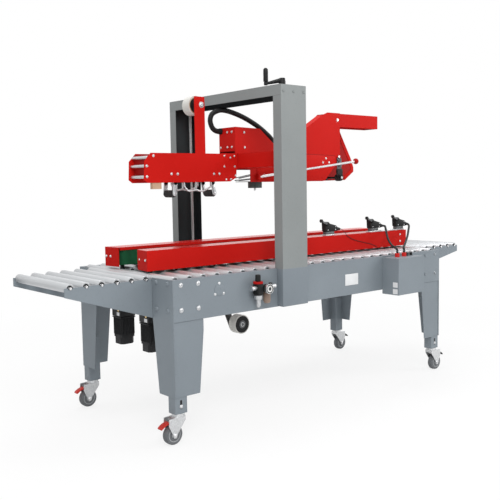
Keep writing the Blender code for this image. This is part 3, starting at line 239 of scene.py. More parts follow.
GREY = (0.205, 0.236, 0.262)
GREY_COLUMN = (0.236, 0.254, 0.254)
RED = (0.530, 0.010, 0.007)
M = {
    "grey": paint("grey paint", GREY, 0.46),
    "column": paint("column paint", GREY_COLUMN, 0.46),
    # painted shade: near-black for the columns' hollows and the beam's inner and lower faces
    "dark": paint("painted shade for hollows", (0.030, 0.038, 0.040), 0.6, shine=0.1),
    "red": paint("red paint", RED, 0.48, peel=0.00004, shine=0.06, spread=0.04),
    "red_top": paint("worn red paint", RED, 0.26, peel=0.00002, shine=0.7, spread=0.04),
    # deep red: the plough ball, plough tips and air ring have this colour; on inner plate faces and the cover
    # seam it is painted shade
    "deep_red": paint("deep red paint and painted shade", (0.36, 0.008, 0.007), 0.5, shine=0.10),
    "roller": metal(
        "plated roller", (0.56, 0.575, 0.59), 0.34, (1, 0.02, 1), 230, streak=0.10, metallic=0.55
    ),
    "zinc": metal("zinc plate", (0.66, 0.67, 0.68), 0.34, streak=0.16),
    "steel": metal("bright steel", (0.78, 0.78, 0.79), 0.22, (0.05, 1, 1), 200),
    "cast": metal("grey casting", (0.62, 0.63, 0.64), 0.40, depth=0.0001),
    "brass": metal("brass", (0.80, 0.60, 0.28), 0.3),
    "screw": metal("screw steel", (0.36, 0.37, 0.37), 0.42, (1, 1, 0.02), 300, metallic=0.6),
    # dark steel; on the bottom cartridge and the bottom tape arms it is painted shade under the bed
    "dark_steel": metal("dark steel and painted shade", (0.13, 0.135, 0.14), 0.45, metallic=0.7),
    "pad": plastic("grey rubber pad", (0.085, 0.110, 0.108), 0.7, 260, 0.00012),
    "skirt": paint("skirt paint", (0.190, 0.220, 0.246), 0.46),
    # black plastic; on the foot slots and the roller end rings it also serves as painted shade
    "black": plastic("black plastic and painted shade", (0.012, 0.0125, 0.013), 0.45, shine=0.2),
    "motor": plastic("black motor enamel", (0.014, 0.0145, 0.016), 0.40, 300, 0.00006, shine=0.22),
    "rubber": plastic("black rubber", (0.022, 0.022, 0.022), 0.62, 260, 0.00015),
    "tyre": plastic("grey tyre", (0.135, 0.142, 0.150), 0.60, 260, 0.00012),
    "hub": plastic("wheel hub", (0.36, 0.37, 0.38), 0.5),
    "pedal_red": plastic("red pedal", (0.50, 0.030, 0.020), 0.42),
    "stop_red": plastic("red button", (0.62, 0.020, 0.015), 0.30, edge=0.002),
    "belt": belt_material(),
    "tape": plastic("tape film", (0.62, 0.61, 0.575), 0.30, 60, 0.00005, spread=0.05),
    "tape_side": tape_side_material("tape edge", (0.50, 0.48, 0.42)),
    "card": plastic("card core", (0.42, 0.30, 0.18), 0.8, 500, 0.0001),
    "white": plastic("blank plate", (0.70, 0.71, 0.72), 0.5, spread=0.03),
    "beige": plastic("beige block", (0.50, 0.33, 0.22), 0.7, 380, 0.0002),
    "dial": plastic("dial face", (0.72, 0.72, 0.70), 0.4, spread=0.02),
    "dial_dark": plastic("dial centre", (0.06, 0.065, 0.07), 0.4),
    "brown_bowl": plastic("drain bowl", (0.27, 0.195, 0.155), 0.35),
    "bowl": metal("bowl guard", (0.52, 0.53, 0.54), 0.32, metallic=0.8),
}


# ---------------------------------------------------------------- shapes


def finish_mesh(name, shape, material, body, smooth=35):
    """Makes an object from a Whole or a single shape, riding on body, with a physical material in slot."""
    shape = shape.shape if isinstance(shape, Whole) else shape
    mesh = bpy.data.meshes.new(name)
    bmesh.ops.recalc_face_normals(shape, faces=shape.faces)
    shape.to_mesh(mesh)
    shape.free()
    mesh.shade_smooth()
    mesh.set_sharp_from_angle(angle=radians(smooth))
    for item in material if isinstance(material, (list, tuple)) else [material]:
        mesh.materials.append(M[item])
    made = bpy.data.objects.new(name, mesh)
    bpy.context.scene.collection.objects.link(made)
    if body:
        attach(made, body)
    return made


class Whole:
    """A mesh put together from closed shapes. Each comes with the number of its material."""

    def __init__(self):
        self.shape = bmesh.new()

    def add(self, index, shape):
        """Adds shape and frees it. With index None its faces keep the materials they have."""
        for face in shape.faces if index is not None else ():
            face.material_index = index
        mesh = bpy.data.meshes.new("part")
        shape.to_mesh(mesh)
        shape.free()
        self.shape.from_mesh(mesh)
        bpy.data.meshes.remove(mesh)

    def turn(self, index, *values):
        self.add(index, turned(*values))

    def box(self, index, *values):
        self.add(index, box_shape(*values))

    def plate(self, index, *values):
        self.add(index, slab(*values))

    def bolt(self, index, *values):
        self.add(index, bolt_shape(*values))


def turned(profile, start, direction, sides=24):
    """A closed turned shape: profile holds (distance along, radius) pairs from one end to the other."""
    shape = bmesh.new()
    axis = Vector(direction).normalized()
    first = axis.orthogonal().normalized()
    second = axis.cross(first)
    rings = []
    for distance, radius in profile:
        centre = Vector(start) + axis * distance
        if radius < 1e-6:
            rings.append([shape.verts.new(centre)])
            continue
        ring = []
        for i in range(sides):
            angle = 2 * pi * i / sides
            ring.append(shape.verts.new(centre + (first * cos(angle) + second * sin(angle)) * radius))
        rings.append(ring)
    for one, two in zip(rings, rings[1:]):
        for i in range(sides):
            j = (i + 1) % sides
            if len(one) == 1:
                shape.faces.new((one[0], two[i], two[j]))
            elif len(two) == 1:
                shape.faces.new((one[i], two[0], one[j]))
            else:
                shape.faces.new((one[i], two[i], two[j], one[j]))
    for ring in (rings[0], rings[-1]):
        if len(ring) > 1:
            shape.faces.new(ring)
    return shape


def box_shape(x, y, z, bevel=0.001, segments=2):
    """A box from its range along each axis, with rounded edges."""
    shape = bmesh.new()
    low = Vector((min(x), min(y), min(z)))
    high = Vector((max(x), max(y), max(z)))
    size = high - low
    matrix = Matrix.Translation((low + high) / 2) @ Matrix.Diagonal((*size, 1))
    bmesh.ops.create_cube(shape, size=1, matrix=matrix)
    if bevel:
        bmesh.ops.bevel(shape, geom=shape.edges[:], offset=bevel, segments=segments, profile=0.5,
            affect="EDGES")
    return shape


def skin(shape, one, two):
    """Quads between two rings with the same number of points."""
    for i in range(len(one)):
        j = (i + 1) % len(one)
        shape.faces.new((one[i], one[j], two[j], two[i]))


def slab(outline, axis, low, high, bevel=0.0):
    """An outline in the plane across axis, given in X, Y, Z order, pulled from low to high."""
    shape = bmesh.new()
    order = {"X": (2, 0, 1), "Y": (0, 2, 1), "Z": (0, 1, 2)}[axis]
    rings = []
    for level in (low, high):
        ring = []
        for across, up in outline:
            values = (across, up, level)
            ring.append(shape.verts.new([values[order[i]] for i in range(3)]))
        rings.append(ring)
    caps = [shape.faces.new(rings[0]), shape.faces.new(rings[1])]
    skin(shape, *rings)
    bmesh.ops.recalc_face_normals(shape, faces=shape.faces)
    if bevel:
        edges = {edge for cap in caps for edge in cap.edges}
        bmesh.ops.bevel(shape, geom=list(edges), offset=bevel, segments=2, profile=0.5, affect="EDGES")
    return shape


def swept(points, radius, sides=12, wave=None):
    """A tube through the points. wave(distance) scales the radius along it, for a corrugated hose."""
    shape = bmesh.new()
    frame_up = None
    rings = []
    travelled = 0.0
    for i, point in enumerate(points):
        ahead = (points[min(i + 1, len(points) - 1)] - points[max(i - 1, 0)]).normalized()
        if frame_up is None:
            frame_up = ahead.orthogonal().normalized()
        frame_up = (frame_up - ahead * frame_up.dot(ahead)).normalized()
        side = ahead.cross(frame_up)
        if i:
            travelled += (point - points[i - 1]).length
        size = radius * (wave(travelled) if wave else 1.0)
        ring = []
        for k in range(sides):
            angle = 2 * pi * k / sides
            ring.append(shape.verts.new(point + (frame_up * cos(angle) + side * sin(angle)) * size))
        rings.append(ring)
    for one, two in zip(rings, rings[1:]):
        skin(shape, one, two)
    shape.faces.new(rings[0])
    shape.faces.new(rings[-1])
    return shape


def bar_outline(start, stop, start_radius, stop_radius, points=9):
    """The X and Z outline of a flat bar with round ends, given the ends' centres."""
    run = Vector((stop.x - start.x, 0, stop.z - start.z)).normalized()
    sideways = Vector((run.z, 0, -run.x))
    outline = []
    for first, spot, radius in ((90, start, start_radius), (-90, stop, stop_radius)):
        for step in range(points):
            a = radians(first + 180 / (points - 1) * step)
            p = spot + run * radius * cos(a) + sideways * radius * sin(a)
            outline.append((p.x, p.z))
    return outline


def smooth_path(points, step):
    """Points about a step apart on a smooth curve through the given ones."""
    guide = [Vector(p) for p in points]
    guide = [2 * guide[0] - guide[1], *guide, 2 * guide[-1] - guide[-2]]
    path = []
    for i in range(1, len(guide) - 2):
        a, b, c, d = guide[i - 1 : i + 3]
        count = max(2, round((c - b).length / step))
        for n in range(count):
            t = n / count
            linear = (c - a) * t
            square = (2 * a - 5 * b + 4 * c - d) * t * t
            cube = (3 * b - a - 3 * c + d) * t**3
            path.append(0.5 * (2 * b + linear + square + cube))
    path.append(guide[-2])
    return path


def ripple(pitch, depth):
    """The wave of a corrugated hose or a coil spring, for swept."""
    return lambda travelled: 1 - depth * (0.5 + 0.5 * cos(2 * pi * travelled / pitch))


def bolt_shape(place, direction, radius, height=None, kind="hex"):
    """A bolt head on its washer, standing on place."""
    height = height or radius * 0.62
    washer = turned([(-0.0005, radius * 1.30), (radius * 0.16, radius * 1.30),
        (radius * 0.20, radius * 1.22)], place, direction, 16)
    whole = Whole()
    whole.add(0, washer)
    base = Vector(place) + Vector(direction).normalized() * radius * 0.19
    if kind == "hex":
        head = turned([(0, radius), (height * 0.86, radius), (height, radius * 0.86), (height, 0)], base,
            direction, 6)
    else:
        head = turned([(0, radius), (height * 0.45, radius * 0.98), (height * 0.8, radius * 0.82),
            (height, radius * 0.52), (height * 0.7, radius * 0.44), (height * 0.5, 0)], base, direction, 12)
    whole.add(0, head)
    return whole.shape


def bolts(name, body, places, direction, radius, material="zinc", kind="hex", height=None):
    """One piece with a bolt at each of the places."""
    whole = Whole()
    for place in places:
        whole.bolt(0, place, direction, radius, height, kind)
    return finish_mesh(name, whole, material, body)


def dress(node, *materials, choose=None):
    """Gives a CAD node its materials; choose takes a face and gives its material's number."""
    mesh = NODES[node].data
    mesh.materials.clear()
    for item in materials:
        mesh.materials.append(M[item])
    for face in mesh.polygons:
        face.material_index = choose(face) if choose else 0


# ---------------------------------------------------------------- painted frame

COLUMN_X = END + COLUMN


def inner_shade_choice(face):
    """Faces that look in towards the column's hollow or down under the beam, which get near-black paint as
    painted shade.
    """
    normal, centre = face.normal, face.center
    inward = abs(normal.x) > 0.5 and (centre.x - COLUMN_X) * normal.x < 0
    toward_middle = abs(normal.y) > 0.5 and (centre.y - MIDDLE) * normal.y < 0
    return 1 if inward or toward_middle or normal.z < -0.5 else 0


# the columns and the beam take near-black paint on their inner and lower faces as painted shade
for label in ("front", "back"):
    dress(f"side_panel_{label}", "grey")
    dress(f"column_{label}", "column", "dark", choose=inner_shade_choice)
    dress(f"carriage_{label}", "red")
    dress(f"side_guard_{label}", "red", "red_top", choose=lambda face: 1 if face.normal.z > 0.9 else 0)
    for place in ("outfeed", "infeed"):
        dress(f"leg_{place}_{label}", "grey")
dress("portal_beam", "column", "dark", choose=inner_shade_choice)
dress("kicker_arm", "red")

OUT = {"front": -Y, "back": Y}  # the way out of each side of the body
SIGN = {"front": -1, "back": 1}  # the same as a sign of Y
WAY = {"outfeed": -1, "infeed": 1}  # the way out of each end, as a sign of X


def end_x(place, inward):
    """X at a distance in from one end of the body."""
    centre = END + LENGTH / 2
    return centre + WAY[place] * (LENGTH / 2 - inward)


for label, side in SIGN.items():
    for place, way in WAY.items():
        spots = [
            (end_x(place, -0.0002), MIDDLE + side * (HALF - inward), BED - drop)
            for inward in (0.034, 0.116)
            for drop in (0.016, 0.127)
        ]
        name = f"leg_end_bolts_{place}_{label}"
        bolts(name, "frame", spots, (way, 0, 0), 0.0082, "grey", "button", 0.0048)
    for place, rows, radius, material, height in (
        ("outfeed", (0.041, 0.128), 0.0078, "zinc", 0.0044),
        ("infeed", (0.041,), 0.0062, "cast", 0.0034),
    ):
        y = MIDDLE + side * (HALF - 0.0002)
        spots = [(end_x(place, inward), y, BED - drop) for inward in rows for drop in (0.023, 0.126)]
        bolts(f"leg_bolts_{place}_{label}", "frame", spots, OUT[label], radius, material, "button", height)
    columns = [at(COLUMN + offset, side * (HALF + 0.0378), TOP_Z - 0.030) for offset in (-0.062, 0.0, 0.062)]
    bolts(f"column_bolts_{label}", "frame", columns, OUT[label], 0.0050, "column", "button", 0.0026)

    # adjuster slots in the feet, with their clamp bolts; each slot is a black sheet on the leg, painted shade
    # for the hollow behind it
    for place, way in WAY.items():
        x = end_x(place, 0.032)
        y = MIDDLE + side * (HALF - 0.0054)
        shaded_slot_outline = []
        for i in range(24):
            angle = 2 * pi * i / 24
            lift = 0.014 if sin(angle) > 0 else -0.014
            shaded_slot_outline.append((x + 0.0048 * cos(angle), 0.166 + lift + 0.0048 * sin(angle)))
        low, high = sorted((y + side * 0.0003, y - side * 0.001))
        finish_mesh(f"foot_slot_shade_{place}_{label}", slab(shaded_slot_outline, "Y", low, high), "black", "frame")
        bolts(f"foot_bolt_{place}_{label}", "frame", [(x, y + side * 0.0004, 0.158)], OUT[label], 0.0062)

# folded skirt over the foot of each column
for label, side in SIGN.items():
    low, high = span(side, HALF + 0.0002, HALF + 0.0383)
    skirt = box_shape((END + 0.5705, END + 0.7275), (low, high), (BED - 0.171, BED - 0.0006), 0.0015, 3)
    finish_mesh(f"column_skirt_{label}", skirt, "skirt", "frame")

# the round cover plate and its three bolts on the operator's side
cover = turned(mm((-0.5, 26.5), (1.2, 26.5), (1.8, 25.5), (1.8, 10), (0.6, 8.5), (0.6, 0)),
    at(0.238, -HALF, BED - 0.062), OUT["front"], 32)
finish_mesh("panel_cover", cover, "grey", "frame")
spots = [at(0.238 + 0.0275 * sin(a), -HALF - 0.0002, BED - 0.062 + 0.0275 * cos(a)) for a in (0.0, 2.2, -2.2)]
bolts("panel_cover_bolts", "frame", spots, OUT["front"], 0.0052, "zinc", "button")

# blank plate on the panel
PLATE = (0.095, 0.056)
x, z = END + 1.070, BED - 0.097
across = (x - PLATE[0] / 2, x + PLATE[0] / 2)
plate = box_shape(across, (PANEL[0].y + 0.002, MIDDLE - HALF - 0.0008), (z - PLATE[1] / 2, z + PLATE[1] / 2),
    0.0006)
finish_mesh("blank_plate", plate, "white", "frame")


# ---------------------------------------------------------------- rollers


def roller_shape(whole, x, start, stop):
    """A plated tube with rolled-in ends and a black bearing seat at each end; the black also stands for the
    shade in the plate's notch, so it is partly painted shade.
    """
    length = stop - start
    profile = [(0.0012, ROLLER_RADIUS * 0.42), (0.0012, ROLLER_RADIUS * 0.80), (0.0, ROLLER_RADIUS * 0.86),
        (0.0005, ROLLER_RADIUS * 0.96), (0.0022, ROLLER_RADIUS), (length - 0.0022, ROLLER_RADIUS),
        (length - 0.0005, ROLLER_RADIUS * 0.96), (length, ROLLER_RADIUS * 0.86),
        (length - 0.0012, ROLLER_RADIUS * 0.80), (length - 0.0012, ROLLER_RADIUS * 0.42)]
    whole.turn(0, profile, (x, start, ROLLER_Z), Y, 28)
    for y, way in ((start, -1), (stop, 1)):
        # black bearing ring: partly real, partly painted shade for the notch round the roller's end
        ring = mm((-3, 12.8), (-0.8, 12.8), (-0.2, 12), (-0.8, 6.2), (-3, 6.2))
        whole.turn(1, ring, (x, y, ROLLER_Z), (0, way, 0), 20)


def roller_places():
    """Each bed roller's distance along the body."""
    run = LENGTH - 2 * 0.036
    gaps = round(run / 0.072)
    return [0.036 + run * i / gaps for i in range(gaps + 1)]


SHAFT_END = HALF - 0.017
TUBE_END = HALF - 0.032
WELL = (0.094, 0.646)  # where the bottom cartridge parts the rollers
tubes = Whole()
hardware = Whole()
for place in roller_places():
    x = END + place
    spans = [(-TUBE_END, TUBE_END, -SHAFT_END, SHAFT_END)]
    if WELL[0] < place < WELL[1]:
        spans = [(-TUBE_END, -0.087, -SHAFT_END, -0.081), (0.087, TUBE_END, 0.081, SHAFT_END)]
    for start, stop, low, high in spans:
        roller_shape(tubes, x, MIDDLE + start, MIDDLE + stop)
        shaft = [(0, 0.0046), (high - low, 0.0046)]
        hardware.turn(0, shaft, (x, MIDDLE + low, ROLLER_Z), Y, 12)
rollers = finish_mesh("rollers", tubes, ["roller", "black"], "frame")
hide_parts("bed_rollers")

RAIL = (ROLLER_Z - 0.011, ROLLER_Z + 0.0056)
for side in (-1, 1):
    low, high = span(side, HALF - 0.020, HALF - 0.014)
    hardware.box(0, (END + 0.016, END + LENGTH - 0.016), (low, high), RAIL, 0.0008)
    low, high = span(side, 0.078, 0.084)
    hardware.box(0, (END + WELL[0], END + WELL[1]), (low, high), RAIL, 0.0008)
SLIDE_Z = ROLLER_Z - 0.037
for place in (roller_places()[0] + 0.036, roller_places()[-1] - 0.036):
    x = END + place
    hardware.turn(0, [(0, 0.0068), (0.001, 0.0079), (2 * SHAFT_END - 0.005, 0.0079),
        (2 * SHAFT_END - 0.004, 0.0068)], (x, MIDDLE - SHAFT_END + 0.002, SLIDE_Z), Y, 20)
    for side in (-1, 1):
        low, high = span(side, SHAFT_END - 0.006, SHAFT_END)
        hardware.box(0, about(x, 0.012), (low, high), (SLIDE_Z - 0.012, ROLLER_Z), 0.0008)
finish_mesh("roller_shafts_and_rails", hardware, "cast", "frame")


def table_piece(node, root, way, root_height):
    """Side plates with round open notches, the root plate, and smooth rollers."""
    half = 0.483 / 2  # half the table's width
    tip = root + way * 0.395
    top = ROLLER_Z + 0.003
    notch = 0.013
    notch_z = ROLLER_Z + 0.0075
    gap = acos((top - notch_z) / notch)
    outline = [(root, top - root_height), (root, top)]
    centres = [root + way * (0.026 + 0.0686 * i) for i in range(6)]
    for x in centres:
        for k in range(11):
            angle = pi / 2 + gap + (2 * pi - 2 * gap) * k / 10
            outline.append((x + way * notch * cos(angle), notch_z + notch * sin(angle)))
    outline += [(tip, top), (tip, top - 0.036)]
    whole = Whole()
    for low, high in ((-half, -half + 0.003), (half - 0.003, half)):
        whole.plate(0, outline, "Y", MIDDLE + low, MIDDLE + high)
    whole.box(0, (root, root + way * 0.003), (MIDDLE - half + 0.001, MIDDLE + half - 0.001),
        (top - root_height + 0.002, ROLLER_Z - 0.025), 0.0006)
    plates = finish_mesh(f"{node}_plates", whole, "grey", "frame")
    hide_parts(node)
    loose = Whole()
    shafts = Whole()
    for x in centres:
        roller_shape(loose, x, MIDDLE - half + 0.005, MIDDLE + half - 0.005)
        shafts.turn(0, [(0, 0.0045), (0.0006, 0.0058), (2 * half + 0.0054, 0.0058),
            (2 * half + 0.006, 0.0045)], (x, MIDDLE - half - 0.003, ROLLER_Z), Y, 6)
    finish_mesh(f"{node}_rollers", loose, ["roller", "black"], "frame")
    finish_mesh(f"{node}_shafts", shafts, "steel", "frame")


table_piece("outfeed_table", END - 0.0004, -1, 0.164)
table_piece("infeed_table", END + LENGTH + 0.0004, 1, 0.110)


# ---------------------------------------------------------------- casters

for place, way in WAY.items():
    for label, side in SIGN.items():
        tag = f"{place}_{label}"
        fork_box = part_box(f"caster_fork_{tag}")
        wheel_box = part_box(f"caster_wheel_{tag}")
        axle = (wheel_box[0] + wheel_box[1]) / 2
        y = axle.y
        swivel = Vector((axle.x - way * 0.030, y, fork_box[1].z))
        tyre = mm((-15, 24), (-15, 34), (-14.2, 38.5), (-11, 41.2), (-5, 41.8), (0, 42), (5, 41.8),
            (11, 41.2), (14.2, 38.5), (15, 34), (15, 24))
        whole = Whole()
        whole.turn(0, tyre, axle, Y, 40)
        hub = mm((-17.3, 6.8), (-17.3, 11.5), (-14.5, 13.5), (-10.5, 15), (-10.5, 23.5), (-14, 25),
            (-15.4, 26.2), (-15.4, 28.5), (-14, 29.5))
        mirrored = [(-d, r) for d, r in reversed(hub)]
        whole.turn(1, hub + mirrored, axle, Y, 40)
        wheel = finish_mesh(f"wheel_{tag}", whole, ["tyre", "hub"], f"wheel_{tag}")
        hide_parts(f"caster_wheel_{tag}")

        dress(f"caster_fork_{tag}", "zinc")
        race = mm((-13.5, 20.5), (-13, 24.5), (-9.5, 26.8), (-7, 26.2), (-6.2, 23.5), (-5, 23.5),
            (-4.6, 26.6), (-1.2, 26.6), (-0.4, 25.5))
        finish_mesh(f"caster_race_{tag}", turned(race, swivel, Z, 32), "zinc", f"fork_{tag}")
        caps = Whole()
        for turn in (-1, 1):
            caps.bolt(0, (axle.x, y + turn * 0.0214, axle.z), (0, turn, 0), 0.0064, 0.0030)
        finish_mesh(f"caster_nuts_{tag}", caps, "steel", f"fork_{tag}")

        pivot = Vector((axle.x + way * 0.022, y, 0.092))
        top_line = mm((-4, 5.8), (10, 5.2), (22, 0.8), (34, -6), (41.5, -12.8))
        low_line = mm((39.8, -17.6), (30, -11.2), (20, -4.8), (9, -1.2), (-2, 0))
        outline = [(pivot.x + way * a, pivot.z + b) for a, b in top_line + low_line]
        pedal = Whole()
        pedal.plate(0, outline, "Y", y - 0.0148, y + 0.0148, 0.0007)
        for k in range(4):
            a = 0.018 + 0.0055 * k
            b = -0.0004 - 0.0046 * k
            centre = (pivot.x + way * a, y, pivot.z + b + 0.0016)
            pedal.turn(0, mm((-11, 1.1), (11, 1.1)), centre, Y, 8)
        pedal.turn(0, mm((-17.2, 5.2), (17.2, 5.2)), pivot, Y, 16)
        made = finish_mesh(f"pedal_{tag}", pedal, "pedal_red" if way < 0 else "black", f"pedal_{tag}")
        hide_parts(f"brake_pedal_{tag}")


# ---------------------------------------------------------------- lift screws and crank

for label, body in (("front", "crank_and_screw"), ("back", "back_screw")):
    low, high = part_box(f"lead_screw_{label}")
    x, y = (low.x + high.x) / 2, (low.y + high.y) / 2
    profile = mm((0, 6), (12, 6.2))
    pitch = 0.005
    level = 0.014
    while level < high.z - low.z - 0.062:
        profile += [(level, 0.0066), (level + 0.28 * pitch, 0.0079), (level + 0.52 * pitch, 0.0079),
            (level + 0.80 * pitch, 0.0066)]
        level += pitch
    top = high.z - low.z
    profile += [(top - 0.048, 0.0079), (top - 0.0225, 0.0079)]
    profile += [(top - 0.0215, 0.0150), (top - 0.0105, 0.0158), (top - 0.0098, 0.0150)]
    profile += [(top - 0.0095, 0.0079), (top - 0.0004, 0.0079), (top, 0.0070)]
    screw = finish_mesh(f"screw_{label}", turned(profile, (x, y, low.z), Z, 14), "screw", body, 50)
    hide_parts(f"lead_screw_{label}")

hub_centre = at(COLUMN, -(HALF - 0.035), TOP_Z + 0.0064)
grip_low, grip_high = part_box("crank_grip")
grip_centre = (grip_low + grip_high) / 2
reach = Vector((grip_centre.x - hub_centre.x, grip_centre.y - hub_centre.y, 0))
tip = hub_centre + reach
whole = Whole()
hub_profile = mm((0, 13.5), (1.2, 15.5), (17, 15.5), (21.5, 14.2), (30, 13.8), (31.8, 12), (32, 0))
whole.turn(0, hub_profile, hub_centre, Z, 28)
arm_start = hub_centre + Vector((0, 0, 0.0225))
arm_run = tip + Vector((0, 0, 0.0052)) - arm_start
arm_profile = [(0, 0.0108), (arm_run.length * 0.25, 0.0100), (arm_run.length * 0.9, 0.0062),
    (arm_run.length, 0.0055)]
whole.turn(0, arm_profile, arm_start, arm_run, 16)
boss = mm((-1.8, 7.4), (-0.8, 8.4), (12, 8.4), (12.8, 7.6), (12.8, 0))
whole.turn(0, boss, tip, Z, 24)
whole.turn(0, mm((2, 3.6), (74, 3.6)), tip, Z, 12)
whole.turn(0, mm((72.1, 5.2), (72.8, 6.4), (74.2, 6), (74.7, 0)), tip, Z, 16)
crank = finish_mesh("crank_arm", whole, "black", "crank_and_screw")
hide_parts("crank")
grip_profile = mm((0, 9.2), (1, 10.4), (3, 10.8), (40, 10.9), (53.5, 10.6), (56, 9.8), (57.5, 8), (57.8, 6.2))
grip = finish_mesh("grip", turned(grip_profile, (grip_centre.x, grip_centre.y, grip_low.z + 0.0003), Z, 24),
    "black", "crank_grip")
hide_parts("crank_grip")


# ---------------------------------------------------------------- head


def head_choice(face):
    """Pads and plated rails underneath, dark slots at the ploughs, deeper red on the inner faces as painted
    shade, red outside.
    """
    centre = face.center
    across = abs(centre.y - MIDDLE)
    rise = centre.z - HEAD_Z
    along = centre.x - END
    if rise < -0.0002 or (across < 0.037 and rise < 0.003 and along < 0.83 and abs(face.normal.z) < 0.5):
        return 1 if rise > -0.031 else 2
    root = 0.704 if centre.y < MIDDLE else 0.820  # where this side's slots for the plough start
    reach = 0.0603 if along < root else 0.0583
    if 0.0495 < across < reach and root - 0.093 < along < root + 0.041 and rise < 0.042:
        return 4
    # plate faces that look into the head take the deeper red as painted shade
    inside = across < 0.0588 and abs(face.normal.y) > 0.5
    return 3 if inside and along > 0.6 else 0


dress("head_frame", "red", "pad", "zinc", "deep_red", "dark_steel", choose=head_choice)
HEAD_SIDE = 0.0615  # the head's outer faces, from the middle plane

front = [at(x, -HEAD_SIDE, HEAD_Z + z) for x, z in ((0.668, 0.241), (0.670, 0.168), (0.985, 0.150))]
front += [at(x, -HEAD_SIDE - 0.0020, HEAD_Z + z) for x, z in ((1.215, 0.099), (1.262, 0.099), (1.238, 0.121))]
bolts("head_bolts_front", "head", front, OUT["front"], 0.0048, "zinc", "button")
back = [at(x, HEAD_SIDE, HEAD_Z + z) for x, z in ((0.668, 0.241), (0.670, 0.168), (0.985, 0.150))]
back += [at(x, HEAD_SIDE, HEAD_Z + z) for x, z in ((1.215, 0.099), (1.262, 0.099), (1.327, 0.351),
    (1.500, 0.110))]
bolts("head_bolts_back", "head", back, OUT["back"], 0.0048, "zinc", "button")
face = [at(0.610, y, HEAD_Z + z) for y in (-0.036, -0.002) for z in (0.243, 0.170)]
face.append(at(0.610, 0.050, HEAD_Z + 0.170))
bolts("head_bolts_end", "head", face, -X, 0.0048, "zinc", "button")
whole = Whole()
for side in (-1, 1):
    spot = at(1.331, side * HEAD_SIDE, HEAD_Z + 0.329)
    whole.turn(0, mm((-1, 9.8), (1.2, 9.8), (1.8, 9), (1.8, 7), (3.6, 6.8), (4.6, 5.6), (4.6, 0)), spot,
        (0, side, 0), 24)
finish_mesh("kicker_pin_caps", whole, "zinc", "head")

# the lower cover on the head's front plate, and the hold-down wheel's bracket at its nose
cover = mm((1230, 3.5), (1316, 88.5), (1311, 134), (1104, 139), (745, 139), (745, 3.5))
outline = [(END + x, HEAD_Z + z) for x, z in cover]
finish_mesh("head_lower_cover", slab(outline, "Y", MIDDLE - 0.0637, MIDDLE - 0.0613, 0.0006), "red", "head")
# a thin deep red strip along the cover's top edge: painted shade for the gap at the seam
seam = mm((1312.5, 133.5), (1311, 138.5), (1104, 143.5), (745, 143.5), (745, 138.5), (1104, 138.5))
outline = [(END + x, HEAD_Z + z) for x, z in seam]
finish_mesh("head_cover_seam_shade", slab(outline, "Y", MIDDLE - 0.0620, MIDDLE - 0.0613), "deep_red", "head")
strip = mm((1405, 331), (1472, 289), (1569, 130), (1592, 79), (1592, 53), (1520, 6))
strip += mm((1511, 26.5), (1569, 64), (1569, 74.5), (1548.5, 120), (1455.5, 272), (1394, 311))
outline = [(END + x, HEAD_Z + z) for x, z in strip]
finish_mesh("head_nose_strip", slab(outline, "Y", MIDDLE + 0.0565, MIDDLE + 0.0587, 0.0004), "red", "head")
whole = Whole()
bracket = mm((1321, 46), (1345, 46), (1358, 86), (1353, 124), (1321, 124))
outline = [(END + x, HEAD_Z + z) for x, z in bracket]
whole.plate(0, outline, "Y", MIDDLE - 0.0685, MIDDLE - 0.0637, 0.0012)
knob = mm((0, 15), (3, 16.8), (12, 16.8), (14.5, 15), (14.5, 0))
whole.turn(1, knob, at(1.334, -0.0600, HEAD_Z + 0.046), -Y, 20)
whole.box(1, (END + 1.322, END + 1.362), (MIDDLE - 0.0720, MIDDLE - 0.0560), (HEAD_Z + 0.040, HEAD_Z + 0.066),
    0.003, 3)
post = mm((0, 8.5), (46, 8.5), (48, 7), (48, 0))
whole.turn(0, post, at(1.339, -0.0700, HEAD_Z + 0.076), Z, 16)
pin = mm((0, 7), (3, 7), (4.2, 5.8), (4.2, 0))
whole.turn(2, pin, at(1.333, -0.0685, HEAD_Z + 0.131), -Y, 18)
for x, z in ((1.330, 0.112), (1.348, 0.094)):
    whole.turn(0, pin, at(x, -0.0685, HEAD_Z + z), -Y, 14)
finish_mesh("wheel_bracket", whole, ["dark_steel", "black", "zinc"], "head")

PLOUGH_ROOTS = {"front": 0.756, "back": 0.872}  # each clamp's place along the body


def plough_choice(face):
    """Red clamps, dark red tips and steel rods."""
    along = face.center.x - END
    root = PLOUGH_ROOTS["front" if face.center.y < MIDDLE else "back"]
    if along < root + 0.0155 and abs(face.center.y - MIDDLE) < 0.082:
        return 1
    return 2 if along > 1.3245 else 0


for label in ("front", "back"):
    dress(f"plough_{label}", "steel", "red", "deep_red", choose=plough_choice)
    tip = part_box(f"plough_{label}")
    x = tip[1].x - 0.013
    y = MIDDLE + SIGN[label] * 0.1865
    z = tip[1].z - 0.013
    ball = bmesh.new()
    bmesh.ops.create_uvsphere(ball, u_segments=24, v_segments=16, radius=0.0155,
        matrix=Matrix.Translation((x, y, z)))
    finish_mesh(f"plough_ball_{label}", ball, "deep_red", "head", 80)
    root = at(PLOUGH_ROOTS[label] - 0.004, SIGN[label] * 0.0705, HEAD_Z + 0.0245)
    run = Vector((x, y, z)) - root
    length = run.length
    profile = mm((0, 6), (0.8, 7.4), (118, 7.4), (120, 5.8))
    profile += [(length - 0.026, 0.0058), (length - 0.0255, 0.0070), (length - 0.010, 0.0070),
        (length - 0.0095, 0.005)]
    finish_mesh(f"plough_rod_{label}", turned(profile, root, run, 18), "steel", "head")

